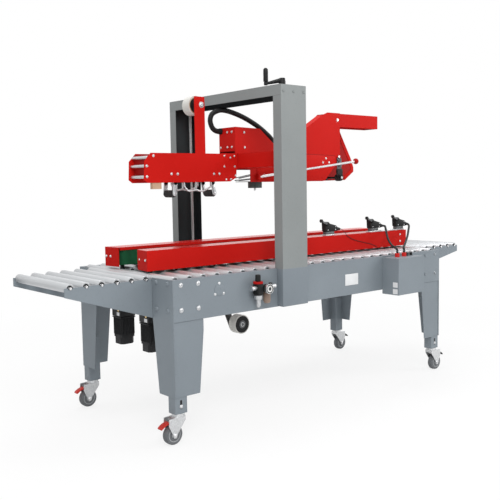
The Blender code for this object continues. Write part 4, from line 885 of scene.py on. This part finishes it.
# infeed roller: hangers and rubber roller
top_pin = at(1.335, 0, HEAD_Z + 0.126)
low_pin = at(1.368, 0, HEAD_Z + 0.018)
whole = Whole()
outline = bar_outline(top_pin, low_pin, 0.0128, 0.0128, 10)
for side in (-1, 1):
    a, b = span(side, 0.0541, 0.0576)
    whole.plate(1, outline, "Y", a, b, 0.0006)
    for pin in (top_pin, low_pin):
        place = (pin.x, MIDDLE + side * 0.0540, pin.z)
        whole.bolt(2, place, (0, -side, 0), 0.0062, 0.003, "button")
roller_profile = mm((-50, 10), (-50, 17), (-48.8, 18.8), (-47, 19), (-21, 19), (-19.2, 18.8), (-18, 17),
    (-18, 10))
whole.turn(0, roller_profile, low_pin, Y, 32)
whole.turn(1, mm((-57.5, 5.5), (57.5, 5.5)), low_pin, Y, 16)
whole.turn(1, mm((-57.8, 6.8), (57.8, 6.8)), top_pin, Y, 16)
whole.turn(3, mm((-60, 0), (-60, 6.2), (-59.2, 7), (-57, 7.4)), low_pin, Y, 20)
made = finish_mesh("infeed_roller_set", whole, ["rubber", "black", "dark_steel", "white"], "head")
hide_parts("infeed_roller")

# the corrugated conduit over the head
places = ((0.609, 0.047, 0.250), (0.597, 0.047, 0.250), (0.578, 0.047, 0.252), (0.558, 0.046, 0.264))
places += ((0.546, 0.045, 0.285), (0.543, 0.044, 0.306), (0.552, 0.042, 0.330), (0.578, 0.040, 0.346))
places += ((0.614, 0.036, 0.353), (0.670, 0.028, 0.343), (0.742, 0.018, 0.318), (0.817, 0.008, 0.280))
places += ((0.872, 0.003, 0.243), (0.898, 0.000, 0.221), (0.905, 0.000, 0.206), (0.905, 0.000, 0.193))
points = [at(x, y, HEAD_Z + z) for x, y, z in places]
conduit = finish_mesh("conduit", swept(smooth_path(points, 0.0012), 0.0128, 16, ripple(0.0052, 0.08)),
    "black", "head", 70)
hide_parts("head_conduit")
whole = Whole()
nut = mm((0, 15), (10, 15), (12, 13.5), (20, 13.5), (24, 11.8))
whole.turn(0, nut, at(0.6098, 0.047, HEAD_Z + 0.250), -X, 12)
whole.turn(0, nut, at(0.905, 0.000, HEAD_Z + 0.1918), Z, 12)
finish_mesh("conduit_glands", whole, "black", "head", 40)


# ---------------------------------------------------------------- tape cartridges


def cartridge_choice(face):
    """The beige block under the near plate, the plates' inner sides in deeper red as painted shade, or the
    plates' outer sides.
    """
    along, across = face.center.x - END, face.center.y - MIDDLE
    if 0.1325 < along < 0.1805 and face.center.z < HEAD_Z + 0.0015 and across < -0.040:
        return 2
    return 1 if abs(across) < 0.0617 else 0


dress("top_cartridge", "red", "deep_red", "beige", choose=cartridge_choice)
# the bottom cartridge is dark steel where the top one is red: painted shade under the bed
dress("bottom_cartridge", "dark_steel")

SPACERS = ((0.140, 0.121), (0.104, 0.076), (0.104, 0.029))
PIVOTS = ((0.268, 0.041), (0.508, 0.041))
BOTTOM_Z = BED - 0.004
for name, body, base, up in (("top", "head", HEAD_Z, 1), ("bottom", "frame", BOTTOM_Z, -1)):
    whole = Whole()
    for x, z in ((0.113, 0.1135), *SPACERS[1:]):
        sleeve = mm((0, 6.6), (0.5, 7.3), (123.1, 7.3), (123.6, 6.6))
        whole.turn(0, sleeve, at(x, -0.0618, base + up * z), Y, 20)
    for side in (-1, 1):
        for x, z in (*SPACERS, *PIVOTS, (0.234, 0.041), (0.476, 0.041)):
            place = at(x, side * 0.0648, base + up * z)
            whole.bolt(0, place, (0, side, 0), 0.0050, 0.0028, "button")
    if name == "top":
        spots = ((0.540, 0.125), (0.601, 0.125), (0.539, 0.075), (0.602, 0.076), (0.576, 0.117))
        for x, z in (*spots, (0.606, 0.032), (0.549, 0.014), (0.577, 0.015)):
            whole.bolt(0, at(x, -0.0648, base + z), -Y, 0.0042, 0.0026, "button")
        hub = mm((0, 13.5), (1.4, 13.5), (2, 12.5), (2, 9.5), (6.5, 9), (7.8, 7.2), (7.8, 0))
        whole.turn(0, hub, at(0.409, -0.0648, base + 0.358), -Y, 24)
    finish_mesh(f"{name}_cartridge_hardware", whole, "zinc", body)

    # the tape guides: a bent spring on each side of the arms
    whole = Whole()
    for across, lower in ((-0.0515, 0.0), (0.0515, -0.004)):
        guide = ((0.312, 0.014), (0.337, 0.037), (0.377, 0.034), (0.417, 0.039), (0.465, 0.019))
        wire = [at(x, across, base - up * (z + lower)) for x, z in guide]
        whole.add(0, swept(smooth_path(wire, 0.0009), 0.0044, 10, ripple(0.0042, 0.42)))
        for x, z in (guide[0], guide[2], guide[-1]):
            whole.box(0, (END + x - 0.004, END + x + 0.004), (MIDDLE + across - 0.003,
                MIDDLE + across + 0.003), (base - up * (z + lower), base + up * 0.012), 0.0008)
    finish_mesh(f"{name}_tape_guides", whole, "cast", body)

for name, body, radius in (("top", "top_roll", 0.045), ("bottom", "bottom_roll", 0.0475)):
    low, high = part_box(f"{name}_tape_roll")
    centre = (low + high) / 2
    whole = Whole()
    film = [(-0.0248, 0.0385), (-0.0248, radius - 0.0006), (-0.0243, radius - 0.0001),
        (0.0243, radius - 0.0001), (0.0248, radius - 0.0006), (0.0248, 0.0385)]
    shape = turned(film, centre, Y, 56)
    for face in shape.faces:
        face.material_index = 1 if abs(face.normal.y) > 0.7 else 0
    whole.add(None, shape)
    whole.turn(2, mm((-25, 36.5), (-25, 38.8), (25, 38.8), (25, 36.5)), centre, Y, 48)
    hub = mm((-25, 8.8), (-25, 15), (-21.5, 16.5), (-19, 18), (-19, 30.5), (-22.5, 32.5), (-24.9, 34),
        (-24.9, 36.6))
    mirrored = [(-d, r) for d, r in reversed(hub)]
    whole.turn(3, hub + mirrored, centre, Y, 48)
    for k in range(6):
        angle = pi * k / 3
        spoke = centre + Vector((cos(angle), 0, sin(angle))) * 0.0238
        whole.turn(3, mm((-20.5, 0), (-20.5, 2.6), (20.5, 2.6), (20.5, 0)), spoke, Y, 8)
    if name == "top":
        flange = mm((-25.6, 35.5), (-27, 34.5), (-27, 0))
        whole.turn(3, flange, centre, Y, 48)
    else:
        cap = mm((-23.5, 42.5), (-25.6, 42.5), (-26.6, 41.2), (-26.6, 0))
        whole.turn(3, cap, centre, Y, 48)
        whole.turn(5, mm((-26.2, 20), (-27.2, 19.5), (-27.2, 0)), centre, Y, 32)
        whole.turn(4, mm((-26.8, 11.5), (-29, 10.8), (-29, 0)), centre, Y, 24)
    roll = finish_mesh(f"{name}_roll", whole, ["tape", "tape_side", "card", "black", "white", "dark_steel"],
        body)
    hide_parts(f"{name}_tape_roll")

ARMS = {  # pivot's place along the body, then the knee and the end from the pivot
    "rear": (0.268, ((0.004, -0.040), (-0.001, -0.090))),
    "lead": (0.508, ((-0.022, -0.042), (-0.012, -0.091))),
}
for where, base, up in (("top", HEAD_Z, 1), ("bottom", BOTTOM_Z, -1)):
    for which, (pivot_x, (knee, end)) in ARMS.items():
        pivot = at(pivot_x, 0, base + up * 0.041)
        knee_point = pivot + Vector((knee[0], 0, up * knee[1]))
        end_point = pivot + Vector((end[0], 0, up * end[1]))
        whole = Whole()
        for side in (-1, 1):
            low, high = span(side, 0.0366, 0.0404)
            for start, stop in ((pivot, knee_point), (knee_point, end_point)):
                outline = bar_outline(start, stop, 0.0109, 0.0109)
                whole.plate(1, outline, "Y", low, high, 0.0005)
            place = (end_point.x, MIDDLE + side * 0.0402, end_point.z)
            whole.bolt(1, place, (0, side, 0), 0.0044, 0.0024)
        whole.turn(1, mm((-46, 9), (-46, 12), (46, 12), (46, 9)), pivot, Y, 24)
        tread = mm((-30, 8), (-30, 15.5), (-28.8, 16.8), (-27, 17), (27, 17), (28.8, 16.8), (30, 15.5),
            (30, 8))
        whole.turn(0, tread, end_point, Y, 32)
        whole.turn(1, mm((-40.5, 4.8), (40.5, 4.8)), end_point, Y, 12)
        # the bottom arms' plates are dark steel where the top ones are zinc: painted shade under the bed
        arm = finish_mesh(f"{where}_{which}_arm", whole, ["rubber",
            "zinc" if where == "top" else "dark_steel"], f"{where}_arm_{which}")
        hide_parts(f"{where}_arm_{which}")


# ---------------------------------------------------------------- side drives

GUARD_LOW = BED + 0.018
GUARD_HIGH = GUARD_LOW + 0.088
GUARD_SIDE = 0.1775  # the guards' outer faces, from the middle plane
DRIVE_Y = 0.0765 + 0.040
for label, side in SIGN.items():
    body = f"side_drive_{label}"
    outer = [at(LENGTH - 0.075, side * GUARD_SIDE, z) for z in (GUARD_LOW + 0.024, GUARD_HIGH - 0.024)]
    bolts(f"guard_bolts_{label}", body, outer, OUT[label], 0.0048, "zinc", "button")
    for place, way in WAY.items():
        x = END + (0.0245 if way < 0 else LENGTH - 0.0245)
        spots = []
        for inset in (0.017, 0.077) if side < 0 else (0.010, 0.040):
            spots.append((x + way * (0.0055 - 0.161 * inset), MIDDLE + side * (GUARD_SIDE - inset),
                GUARD_LOW + 0.046))
        bolts(f"guard_end_bolts_{place}_{label}", body, spots, (way, -side * 0.13, 0), 0.0048, "zinc",
            "button")

    # the top's inner edge is folded down over the belt
    edge = [(MIDDLE + side * a, GUARD_HIGH + b) for a, b in ((0.0735, -0.0002), (0.0815, -0.0002),
        (0.0815, -0.0022))]
    edge += [(MIDDLE + side * a, GUARD_HIGH + b) for a, b in ((0.0752, -0.0022), (0.0752, -0.0130),
        (0.0735, -0.0130))]
    lip = slab(edge, "X", END + 0.0370, END + LENGTH - 0.0370)
    finish_mesh(f"guard_lip_{label}", lip, "red", body)

    # belt loop with a grip face, and its end pulleys
    y = MIDDLE + side * DRIVE_Y
    start, stop = END + 0.080, END + LENGTH - 0.080
    loop = []
    for centre, turn in ((stop, -0.5), (start, 0.5)):
        for i in range(17):
            angle = pi * (turn + i / 16)
            loop.append((centre, cos(angle), sin(angle)))
    shape = bmesh.new()
    rings = []
    for radius, z in ((0.0398, GUARD_LOW + 0.007), (0.0398, GUARD_HIGH - 0.0045),
            (0.0362, GUARD_HIGH - 0.0045), (0.0362, GUARD_LOW + 0.007)):
        rings.append([shape.verts.new((c + radius * cx, y + radius * cy, z)) for c, cx, cy in loop])
    for one, two in zip(rings, [*rings[1:], rings[0]]):
        skin(shape, one, two)
    belt = finish_mesh(f"belt_{label}", shape, "belt", body, 60)
    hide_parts(f"side_belt_{label}")
    whole = Whole()
    for x in (start, stop):
        drum = mm((0, 8), (0, 34), (1, 35.2), (36, 35.8), (72, 35.2), (73, 34), (73, 12.5), (75.5, 11.8),
            (75.5, 0))
        whole.turn(0, drum, (x, y, GUARD_LOW + 0.009), Z, 36)
    x = END + roller_places()[-1] - 0.036
    whole.box(0, about(x, 0.0058), about(y, 0.010), (SLIDE_Z + 0.014, GUARD_LOW + 0.010), 0.0005)
    whole.box(0, about(x, 0.0148), about(y, 0.0298), about(SLIDE_Z, 0.0158), 0.0015)
    finish_mesh(f"belt_pulleys_{label}", whole, "cast", body)
    rail = box_shape((start + 0.045, stop - 0.045), about(y, 0.022), (GUARD_LOW + 0.0005, GUARD_LOW + 0.0065),
        0.001)
    finish_mesh(f"belt_rail_{label}", rail, "black", body)

    # gearmotor: slide block, neck, gearbox, finned motor, end cap and terminal glands
    x = END + roller_places()[0] + 0.036
    top = 0.520
    whole = Whole()
    whole.box(0, about(x, 0.0148), about(y, 0.0298), about(SLIDE_Z, 0.0158), 0.0015)
    whole.box(0, about(x, 0.0058), about(y, 0.010), (SLIDE_Z + 0.014, GUARD_LOW + 0.0074), 0.0005)
    whole.box(0, about(x, 0.0138), about(y, 0.0198), (top - 0.004, SLIDE_Z - 0.014), 0.001)
    whole.box(0, about(x, 0.039), about(y, 0.039), (top - 0.050, top), 0.003, 3)
    whole.box(0, about(x, 0.0385), about(y, 0.0385), (top - 0.058, top - 0.052), 0.001)
    for k in range(9):
        offset = -0.0300 + 0.0075 * k
        whole.box(0, about(x, 0.0372), (y + offset - 0.0012, y + offset + 0.0012), (0.385, top - 0.059),
            0.0005, 1)
        whole.box(0, (x + offset - 0.0012, x + offset + 0.0012), about(y, 0.0372), (0.385, top - 0.059),
            0.0005, 1)
    whole.box(0, about(x, 0.034), about(y, 0.034), (0.372, top - 0.056), 0.002)
    cap = [(x + a, y + b) for a, b in ((-0.035, -0.022), (-0.022, -0.035), (0.022, -0.035), (0.035, -0.022),
        (0.035, 0.022), (0.022, 0.035), (-0.022, 0.035), (-0.035, 0.022))]
    whole.plate(0, cap, "Z", 0.3405, 0.386, 0.003)
    motor = finish_mesh(f"motor_{label}", whole, "motor", body)
    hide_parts(f"drive_motor_{label}")
    whole = Whole()
    for dy, z in ((-0.018, top - 0.020), (0.004, top - 0.012)):
        nut = mm((-1, 6.2), (1, 6.6), (1.2, 5.2), (1.6, 0))
        whole.turn(0, nut, (x - 0.039, y + dy, z), -X, 8)
    whole.box(1, (x - 0.0398, x - 0.0388), (y - 0.028, y - 0.004), (top - 0.046, top - 0.030), 0.0003)
    finish_mesh(f"motor_fittings_{label}", whole, ["brass", "zinc"], body)


# ---------------------------------------------------------------- limit switches

SWITCH_Y = -GUARD_SIDE + 0.020
SWITCH_Z = GUARD_HIGH + 0.0004
STARTS = {"a": 1.122, "b": 1.478, "c": 1.700}


def switch_shell(whole, x, y):
    """Foot, bracket, wedge-shaped body, screws and the tapered boot of the cable."""
    whole.box(2, (x + 0.004, x + 0.062), about(y, 0.0135), (SWITCH_Z + 0.006, SWITCH_Z + 0.021), 0.001)
    outline = ((-0.002, 0.024), (-0.005, 0.069), (0.018, 0.073), (0.030, 0.063), (0.076, 0.052))
    outline += ((0.085, 0.042), (0.083, 0.022), (0.006, 0.020))
    body = [(x + a, SWITCH_Z + b) for a, b in outline]
    whole.plate(0, body, "Y", y - 0.0156, y + 0.0156, 0.0028)
    boot = mm((0, 11.8), (5, 12.8), (12, 11.8), (34, 7.4), (38.5, 6.2), (38.5, 0))
    whole.turn(0, boot, (x + 0.0790, y, SWITCH_Z + 0.034), (1, 0, -0.10), 16)
    for dx, dz in ((0.014, 0.030), (0.070, 0.030), (0.070, 0.046)):
        whole.bolt(1, (x + dx, y - 0.0156, SWITCH_Z + dz), -Y, 0.0024, 0.0014, "button")


for node, group in (("limit_switch_a", "a"), ("limit_switch_b", "bc")):
    whole = Whole()
    first, last = END + STARTS[group[0]], END + STARTS[group[-1]]
    foot_start = first - (0.014 if group == "bc" else 0.0)
    whole.box(1, (foot_start, last + 0.066), (MIDDLE + SWITCH_Y - 0.0145, MIDDLE + SWITCH_Y + 0.0145),
        (SWITCH_Z, SWITCH_Z + 0.0066), 0.0008)
    for label in group:
        switch_shell(whole, END + STARTS[label], MIDDLE + SWITCH_Y)
    shell = finish_mesh(f"switch_shell_{group}", whole, ["black", "zinc", "dark_steel"], "side_drive_front")
    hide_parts(node)

for label, start in STARTS.items():
    x = END + start
    # lever with its clamp hub and round end roller
    body = f"lever_{label}"
    px = x + 0.008
    pz = SWITCH_Z + 0.060
    py = MIDDLE + SWITCH_Y - 0.0154
    tip = Vector((px - 0.052, py, pz + 0.020))
    whole = Whole()
    hub = mm((0, 6.8), (0.8, 7.9), (8, 7.9), (9, 6.6), (9, 0))
    whole.turn(0, hub, (px, py, pz), -Y, 20)
    outline = bar_outline(Vector((px, py, pz)), tip, 0.0058, 0.0040)
    whole.plate(1, outline, "Y", py - 0.0072, py - 0.0046, 0.0005)
    wheel = mm((1, 4), (1, 7.8), (2.2, 8.9), (11.8, 8.9), (12.8, 7.8), (13, 0))
    whole.turn(0, wheel, tip, -Y, 24)
    made = finish_mesh(f"lever_arm_{label}", whole, ["black", "dark_steel"], body)
    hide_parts(f"switch_lever_{label}")

# hoses to the control box glands
BOX_TOP = BED - 0.006
GLAND_Y = -(HALF + 0.045)
GLANDS = (1.372, 1.428)


def hose(name, node, body_points):
    """A corrugated hose from the front drive to the control box."""
    path = smooth_path(body_points, 0.0016)
    made = finish_mesh(name, swept(path, 0.0060, 12, ripple(0.0036, 0.06)), "black", None,
        70)
    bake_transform(made)
    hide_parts(node)


HOSES = {
    "b": (
        (1.5664, -0.1575, 0.8184), (1.5900, -0.1580, 0.8190), (1.6010, -0.1680, 0.8165),
        (1.5830, -0.1880, 0.8060), (1.5400, -0.2300, 0.7830), (1.4700, -0.3000, 0.7520),
        (1.4130, -0.3700, 0.7300), (1.3840, -0.4150, 0.7220), (1.3745, -0.4330, 0.7150),
        (1.3720, -0.4365, 0.7060), (1.3720, -0.4365, 0.6969),
    ),
    "c": (
        (1.7884, -0.1575, 0.8184), (1.7990, -0.1580, 0.8200), (1.8060, -0.1700, 0.8190),
        (1.7920, -0.1890, 0.8080), (1.7450, -0.2220, 0.7900), (1.6600, -0.2800, 0.7620),
        (1.5520, -0.3500, 0.7370), (1.4660, -0.4060, 0.7240), (1.4360, -0.4290, 0.7180),
        (1.4290, -0.4355, 0.7080), (1.4280, -0.4365, 0.6969),
    ),
}
for label, places in HOSES.items():
    hose(f"hose_{label}", f"switch_hose_{label}", [at(*place) for place in places])

# the first switch's thin cable, clipped along the guard's outer face
places = ((1.236, -0.1575, 0.8195), (1.250, -0.1620, 0.8170), (1.262, -0.1760, 0.7990))
places += ((1.276, -0.1805, 0.7800), (1.330, -0.1800, 0.7560), (1.420, -0.1798, 0.7350))
places += ((1.470, -0.1798, 0.7240), (1.520, -0.1798, 0.7060))
cable = swept(smooth_path([at(*place) for place in places], 0.004), 0.0013, 8)
finish_mesh("switch_cable", cable, "black", "side_drive_front")


# ---------------------------------------------------------------- control box and air unit

BOX = (END + 1.307, END + 1.515)
BOX_FRONT = MIDDLE - HALF - 0.105
BOX_LOW = BOX_TOP - 0.188


def box_choice(face):
    """Grey box, red glands."""
    return 1 if face.center.z > BOX_TOP + 0.0005 else 0


dress("control_box", "grey", "stop_red", choose=box_choice)
whole = Whole()
for place in GLANDS:
    for turn, size in ((0.0, 0.0126), (0.011, 0.0108)):
        ring = [(turn, size), (turn + 0.008, size), (turn + 0.009, size - 0.001), (turn + 0.0092, 0.0046)]
        whole.turn(0, ring, at(place, GLAND_Y, BOX_TOP - 0.0002), Z, 6)
finish_mesh("gland_nuts", whole, "stop_red", "frame")
whole = Whole()
for place, cap in ((0.150, 1), (0.168, 0), (0.190, 1)):
    spot = (BOX[0] + place, MIDDLE + GLAND_Y + 0.010, BOX_TOP)
    ring = mm((0, 9.5), (3, 9.5), (4, 8.5), (16.5, 8.3), (17.2, 7.4), (17.2, 0))
    whole.turn(cap, ring, spot, Z, 20)
finish_mesh("box_buttons", whole, ["dark_steel", "black"], "frame")
stickers = (("blank_sticker_upper", BOX_LOW + 0.052), ("blank_sticker_lower", BOX_LOW + 0.018))
for name, z in stickers:
    shape = box_shape((BOX[0] - 0.0005, BOX[0] + 0.001), (BOX_FRONT + 0.006, BOX_FRONT + 0.036),
        about(z, 0.013), 0.0003, 1)
    finish_mesh(name, shape, "white", "frame")

# the air unit: regulator, gauge, filter bowl and drain bowl
AIR = at(0.428, -HALF - 0.032, BED - 0.072)
whole = Whole()
whole.box(0, about(AIR.x, 0.0145), (AIR.y - 0.0185, AIR.y + 0.0180), (AIR.z - 0.0262, AIR.z + 0.0222), 0.003,
    3)
whole.box(3, about(AIR.x, 0.0120), (AIR.y, MIDDLE - HALF + 0.0003), (AIR.z - 0.0155, AIR.z + 0.0095), 0.001)
whole.box(0, (AIR.x + 0.0125, AIR.x + 0.0620), about(AIR.y, 0.0120), (AIR.z - 0.0180, AIR.z + 0.0130), 0.003,
    3)
whole.turn(1, mm((20.5, 20.5), (21, 22.2), (28.5, 22.2), (30, 21), (30, 0)), AIR, Z, 32)
gauge = AIR + Vector((0.036, -0.036, -0.003))
rim = mm((-12, 0), (-12, 21.5), (2, 21.8), (2.6, 21), (2.6, 19.6), (0.8, 19), (0.8, 0))
whole.turn(3, mm((0, 7), (30, 7)), gauge + Vector((0, -0.001, 0)), Y, 12)
whole.turn(3, rim, gauge, -Y, 40)
whole.turn(0, mm((0.7, 19), (1.1, 19), (1.2, 0)), gauge, -Y, 40)
whole.turn(2, mm((0.9, 14.8), (1.4, 14.8), (1.5, 0)), gauge, -Y, 40)
whole.turn(5, mm((1.2, 7.8), (1.7, 7.8), (1.8, 0)), gauge, -Y, 32)
marks = Whole()
for k in range(11):
    a = radians(-135 + 27 * k)
    spot = gauge + Vector((sin(a) * 0.0128, -0.0016, cos(a) * 0.0128))
    marks.turn(0, mm((-0.1, 0.8), (0.2, 0.8)), spot, -Y, 6)
run = Vector((sin(0.6), 0, cos(0.6)))
side = Vector((run.z, 0, -run.x)) * 0.0007
outline = [gauge - run * 0.004 - side, gauge + run * 0.013 - side * 0.3, gauge + run * 0.013 + side * 0.3,
    gauge - run * 0.004 + side]
marks.plate(0, [(p.x, p.z) for p in outline], "Y", gauge.y - 0.0024, gauge.y - 0.0020)
finish_mesh("gauge_marks", marks, "black", "frame")
for offset, way in ((-0.040, 1), (0.100, -1)):
    fitting = mm((0, 6), (1, 10.4), (12, 10.4), (12.5, 8.6), (18, 8.6))
    fitting += mm((18.5, 10), (30, 10)) if way > 0 else mm((40, 8.6))
    whole.turn(3, fitting, AIR + Vector((offset, 0, 0.002)), (way, 0, 0), 12)
elbow = mm((0, 10), (10, 10), (12, 8.4), (20, 8))
whole.turn(0, elbow, AIR + Vector((0.072, 0, -0.002)), Z, 12)
bowl = mm((-26, 15), (-26.5, 18.2), (-43, 18.2), (-48, 16.5), (-51, 12), (-53, 11.2))
bowl += mm((-76, 10.5), (-82, 7.5), (-84.5, 4), (-84.5, 0))
whole.turn(4, bowl, AIR, Z, 28)
filter_ring = mm((-23.5, 15), (-24, 19), (-30, 19), (-31, 18))
whole.turn(0, filter_ring, AIR, Z, 28)
drain = mm((-17.5, 14), (-24, 16.5), (-60, 16.5), (-67, 14), (-70, 9), (-70.5, 0))
whole.turn(6, drain, AIR + Vector((0.050, 0, 0)), Z, 28)
unit = finish_mesh("air_unit_body", whole, ["black", "deep_red", "dial", "zinc", "bowl", "dial_dark",
    "brown_bowl"], "frame")
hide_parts("air_unit")
knob_low, knob_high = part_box("regulator_knob")
knob_centre = (knob_low + knob_high) / 2
sides = 48
shape = bmesh.new()
rings = []
for z, size in ((0.0, 0.0116), (0.0012, 0.0122), (0.0250, 0.0122), (0.0285, 0.0110), (0.0299, 0.0085)):
    ring = []
    for i in range(sides):
        a = 2 * pi * i / sides
        r = size * (1.0 if i % 4 < 2 else 0.94)
        ring.append(shape.verts.new((knob_centre.x + r * cos(a), knob_centre.y + r * sin(a), knob_low.z + z)))
    rings.append(ring)
for one, two in zip(rings, rings[1:]):
    skin(shape, one, two)
shape.faces.new(rings[0])
shape.faces.new(rings[-1])
knob = finish_mesh("knob_ribbed", shape, "black", "knob")
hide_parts("regulator_knob")


# ---------------------------------------------------------------- floor, light and camera


def make_floor():
    """A white floor that keeps the shadow and fades out round the machine."""
    shape = bmesh.new()
    bmesh.ops.create_grid(shape, x_segments=1, y_segments=1, size=60)
    mesh = bpy.data.meshes.new("floor")
    shape.to_mesh(mesh)
    shape.free()
    floor = bpy.data.objects.new("floor", mesh)
    bpy.context.scene.collection.objects.link(floor)
    made = Nodes("floor white")
    made.set(Base_Color=(0.86, 0.86, 0.86, 1), Roughness=0.8)
    place = made.add("ShaderNodeTexCoord")
    length = made.add("ShaderNodeVectorMath", operation="LENGTH")
    made.link(place.outputs["Object"], length.inputs[0])
    fade = made.add("ShaderNodeMapRange")
    fade.inputs["From Min"].default_value = 0.9
    fade.inputs["From Max"].default_value = 3.2
    fade.inputs["To Min"].default_value = 0.80
    fade.inputs["To Max"].default_value = 1.0
    made.link(length.outputs["Value"], fade.inputs["Value"])
    ray = made.add("ShaderNodeLightPath")
    both = made.add("ShaderNodeMath", operation="MULTIPLY")
    made.link(fade.outputs["Result"], both.inputs[0])
    made.link(ray.outputs["Is Camera Ray"], both.inputs[1])
    glow = made.add("ShaderNodeEmission", Color=(1, 1, 1, 1), Strength=1.0)
    mix = made.add("ShaderNodeMixShader")
    made.link(both.outputs[0], mix.inputs[0])
    made.link(made.shader.outputs[0], mix.inputs[1])
    made.link(glow.outputs[0], mix.inputs[2])
    output = made.tree.nodes["Material Output"]
    made.link(mix.outputs[0], output.inputs["Surface"])
    mesh.materials.append(made.material)
    floor.location.z = -0.0005


def make_world():
    """Plain white light, with a brighter white where the camera or a reflection sees it."""
    world = bpy.data.worlds.new("studio")
    bpy.context.scene.world = world
    world.use_nodes = True
    tree = world.node_tree
    plain = tree.nodes["Background"]
    plain.inputs["Color"].default_value = (1, 1, 1, 1)
    plain.inputs["Strength"].default_value = 0.55
    seen = tree.nodes.new("ShaderNodeBackground")
    seen.inputs["Color"].default_value = (1, 1, 1, 1)
    seen.inputs["Strength"].default_value = 1.0
    ray = tree.nodes.new("ShaderNodeLightPath")
    total = ray.outputs["Is Camera Ray"]
    for kind in ("Is Glossy Ray", "Is Transmission Ray"):
        add = tree.nodes.new("ShaderNodeMath")
        add.operation = "MAXIMUM"
        tree.links.new(total, add.inputs[0])
        tree.links.new(ray.outputs[kind], add.inputs[1])
        total = add.outputs[0]
    mix = tree.nodes.new("ShaderNodeMixShader")
    tree.links.new(total, mix.inputs[0])
    tree.links.new(plain.outputs[0], mix.inputs[1])
    tree.links.new(seen.outputs[0], mix.inputs[2])
    tree.links.new(mix.outputs[0], tree.nodes["World Output"].inputs["Surface"])


def area_light(name, place, target, size, power):
    """A round lamp at place that faces target."""
    data = bpy.data.lights.new(name, "AREA")
    data.shape = "DISK"
    data.size = size
    data.energy = power
    light = bpy.data.objects.new(name, data)
    bpy.context.scene.collection.objects.link(light)
    light.location = place
    light.rotation_mode = "QUATERNION"
    light.rotation_quaternion = (Vector(target) - Vector(place)).to_track_quat("-Z", "Y")


make_floor()
make_world()
area_light("key", (-2.6, -3.6, 4.2), (0, 0, 0.7), 2.6, 150)
area_light("fill", (3.8, -3.2, 2.6), (0, 0, 0.7), 2.6, 70)
area_light("top", (0, 0.6, 4.6), (0, 0, 0.6), 3.0, 80)

YAW, PITCH, ROLL = radians(40.38), radians(-5.05), radians(-0.95)
forward = Vector((sin(YAW) * cos(PITCH), cos(YAW) * cos(PITCH), sin(PITCH)))
level = Vector((cos(YAW), -sin(YAW), 0))
upward = level.cross(forward)
right = level * cos(ROLL) + upward * sin(ROLL)
upright = upward * cos(ROLL) - level * sin(ROLL)
camera_data = bpy.data.cameras.new("camera")
camera_data.sensor_width = 36
camera_data.lens = 53.0
camera_data.clip_end = 200
camera = bpy.data.objects.new("camera", camera_data)
bpy.context.scene.collection.objects.link(camera)
turn = Matrix((right, upright, -forward)).transposed().to_4x4()
camera.matrix_world = Matrix.Translation(at(-1.6594, -2.4358 - HALF, 1.0597)) @ turn
bpy.context.scene.camera = camera
bpy.context.scene.view_settings.view_transform = "Standard"
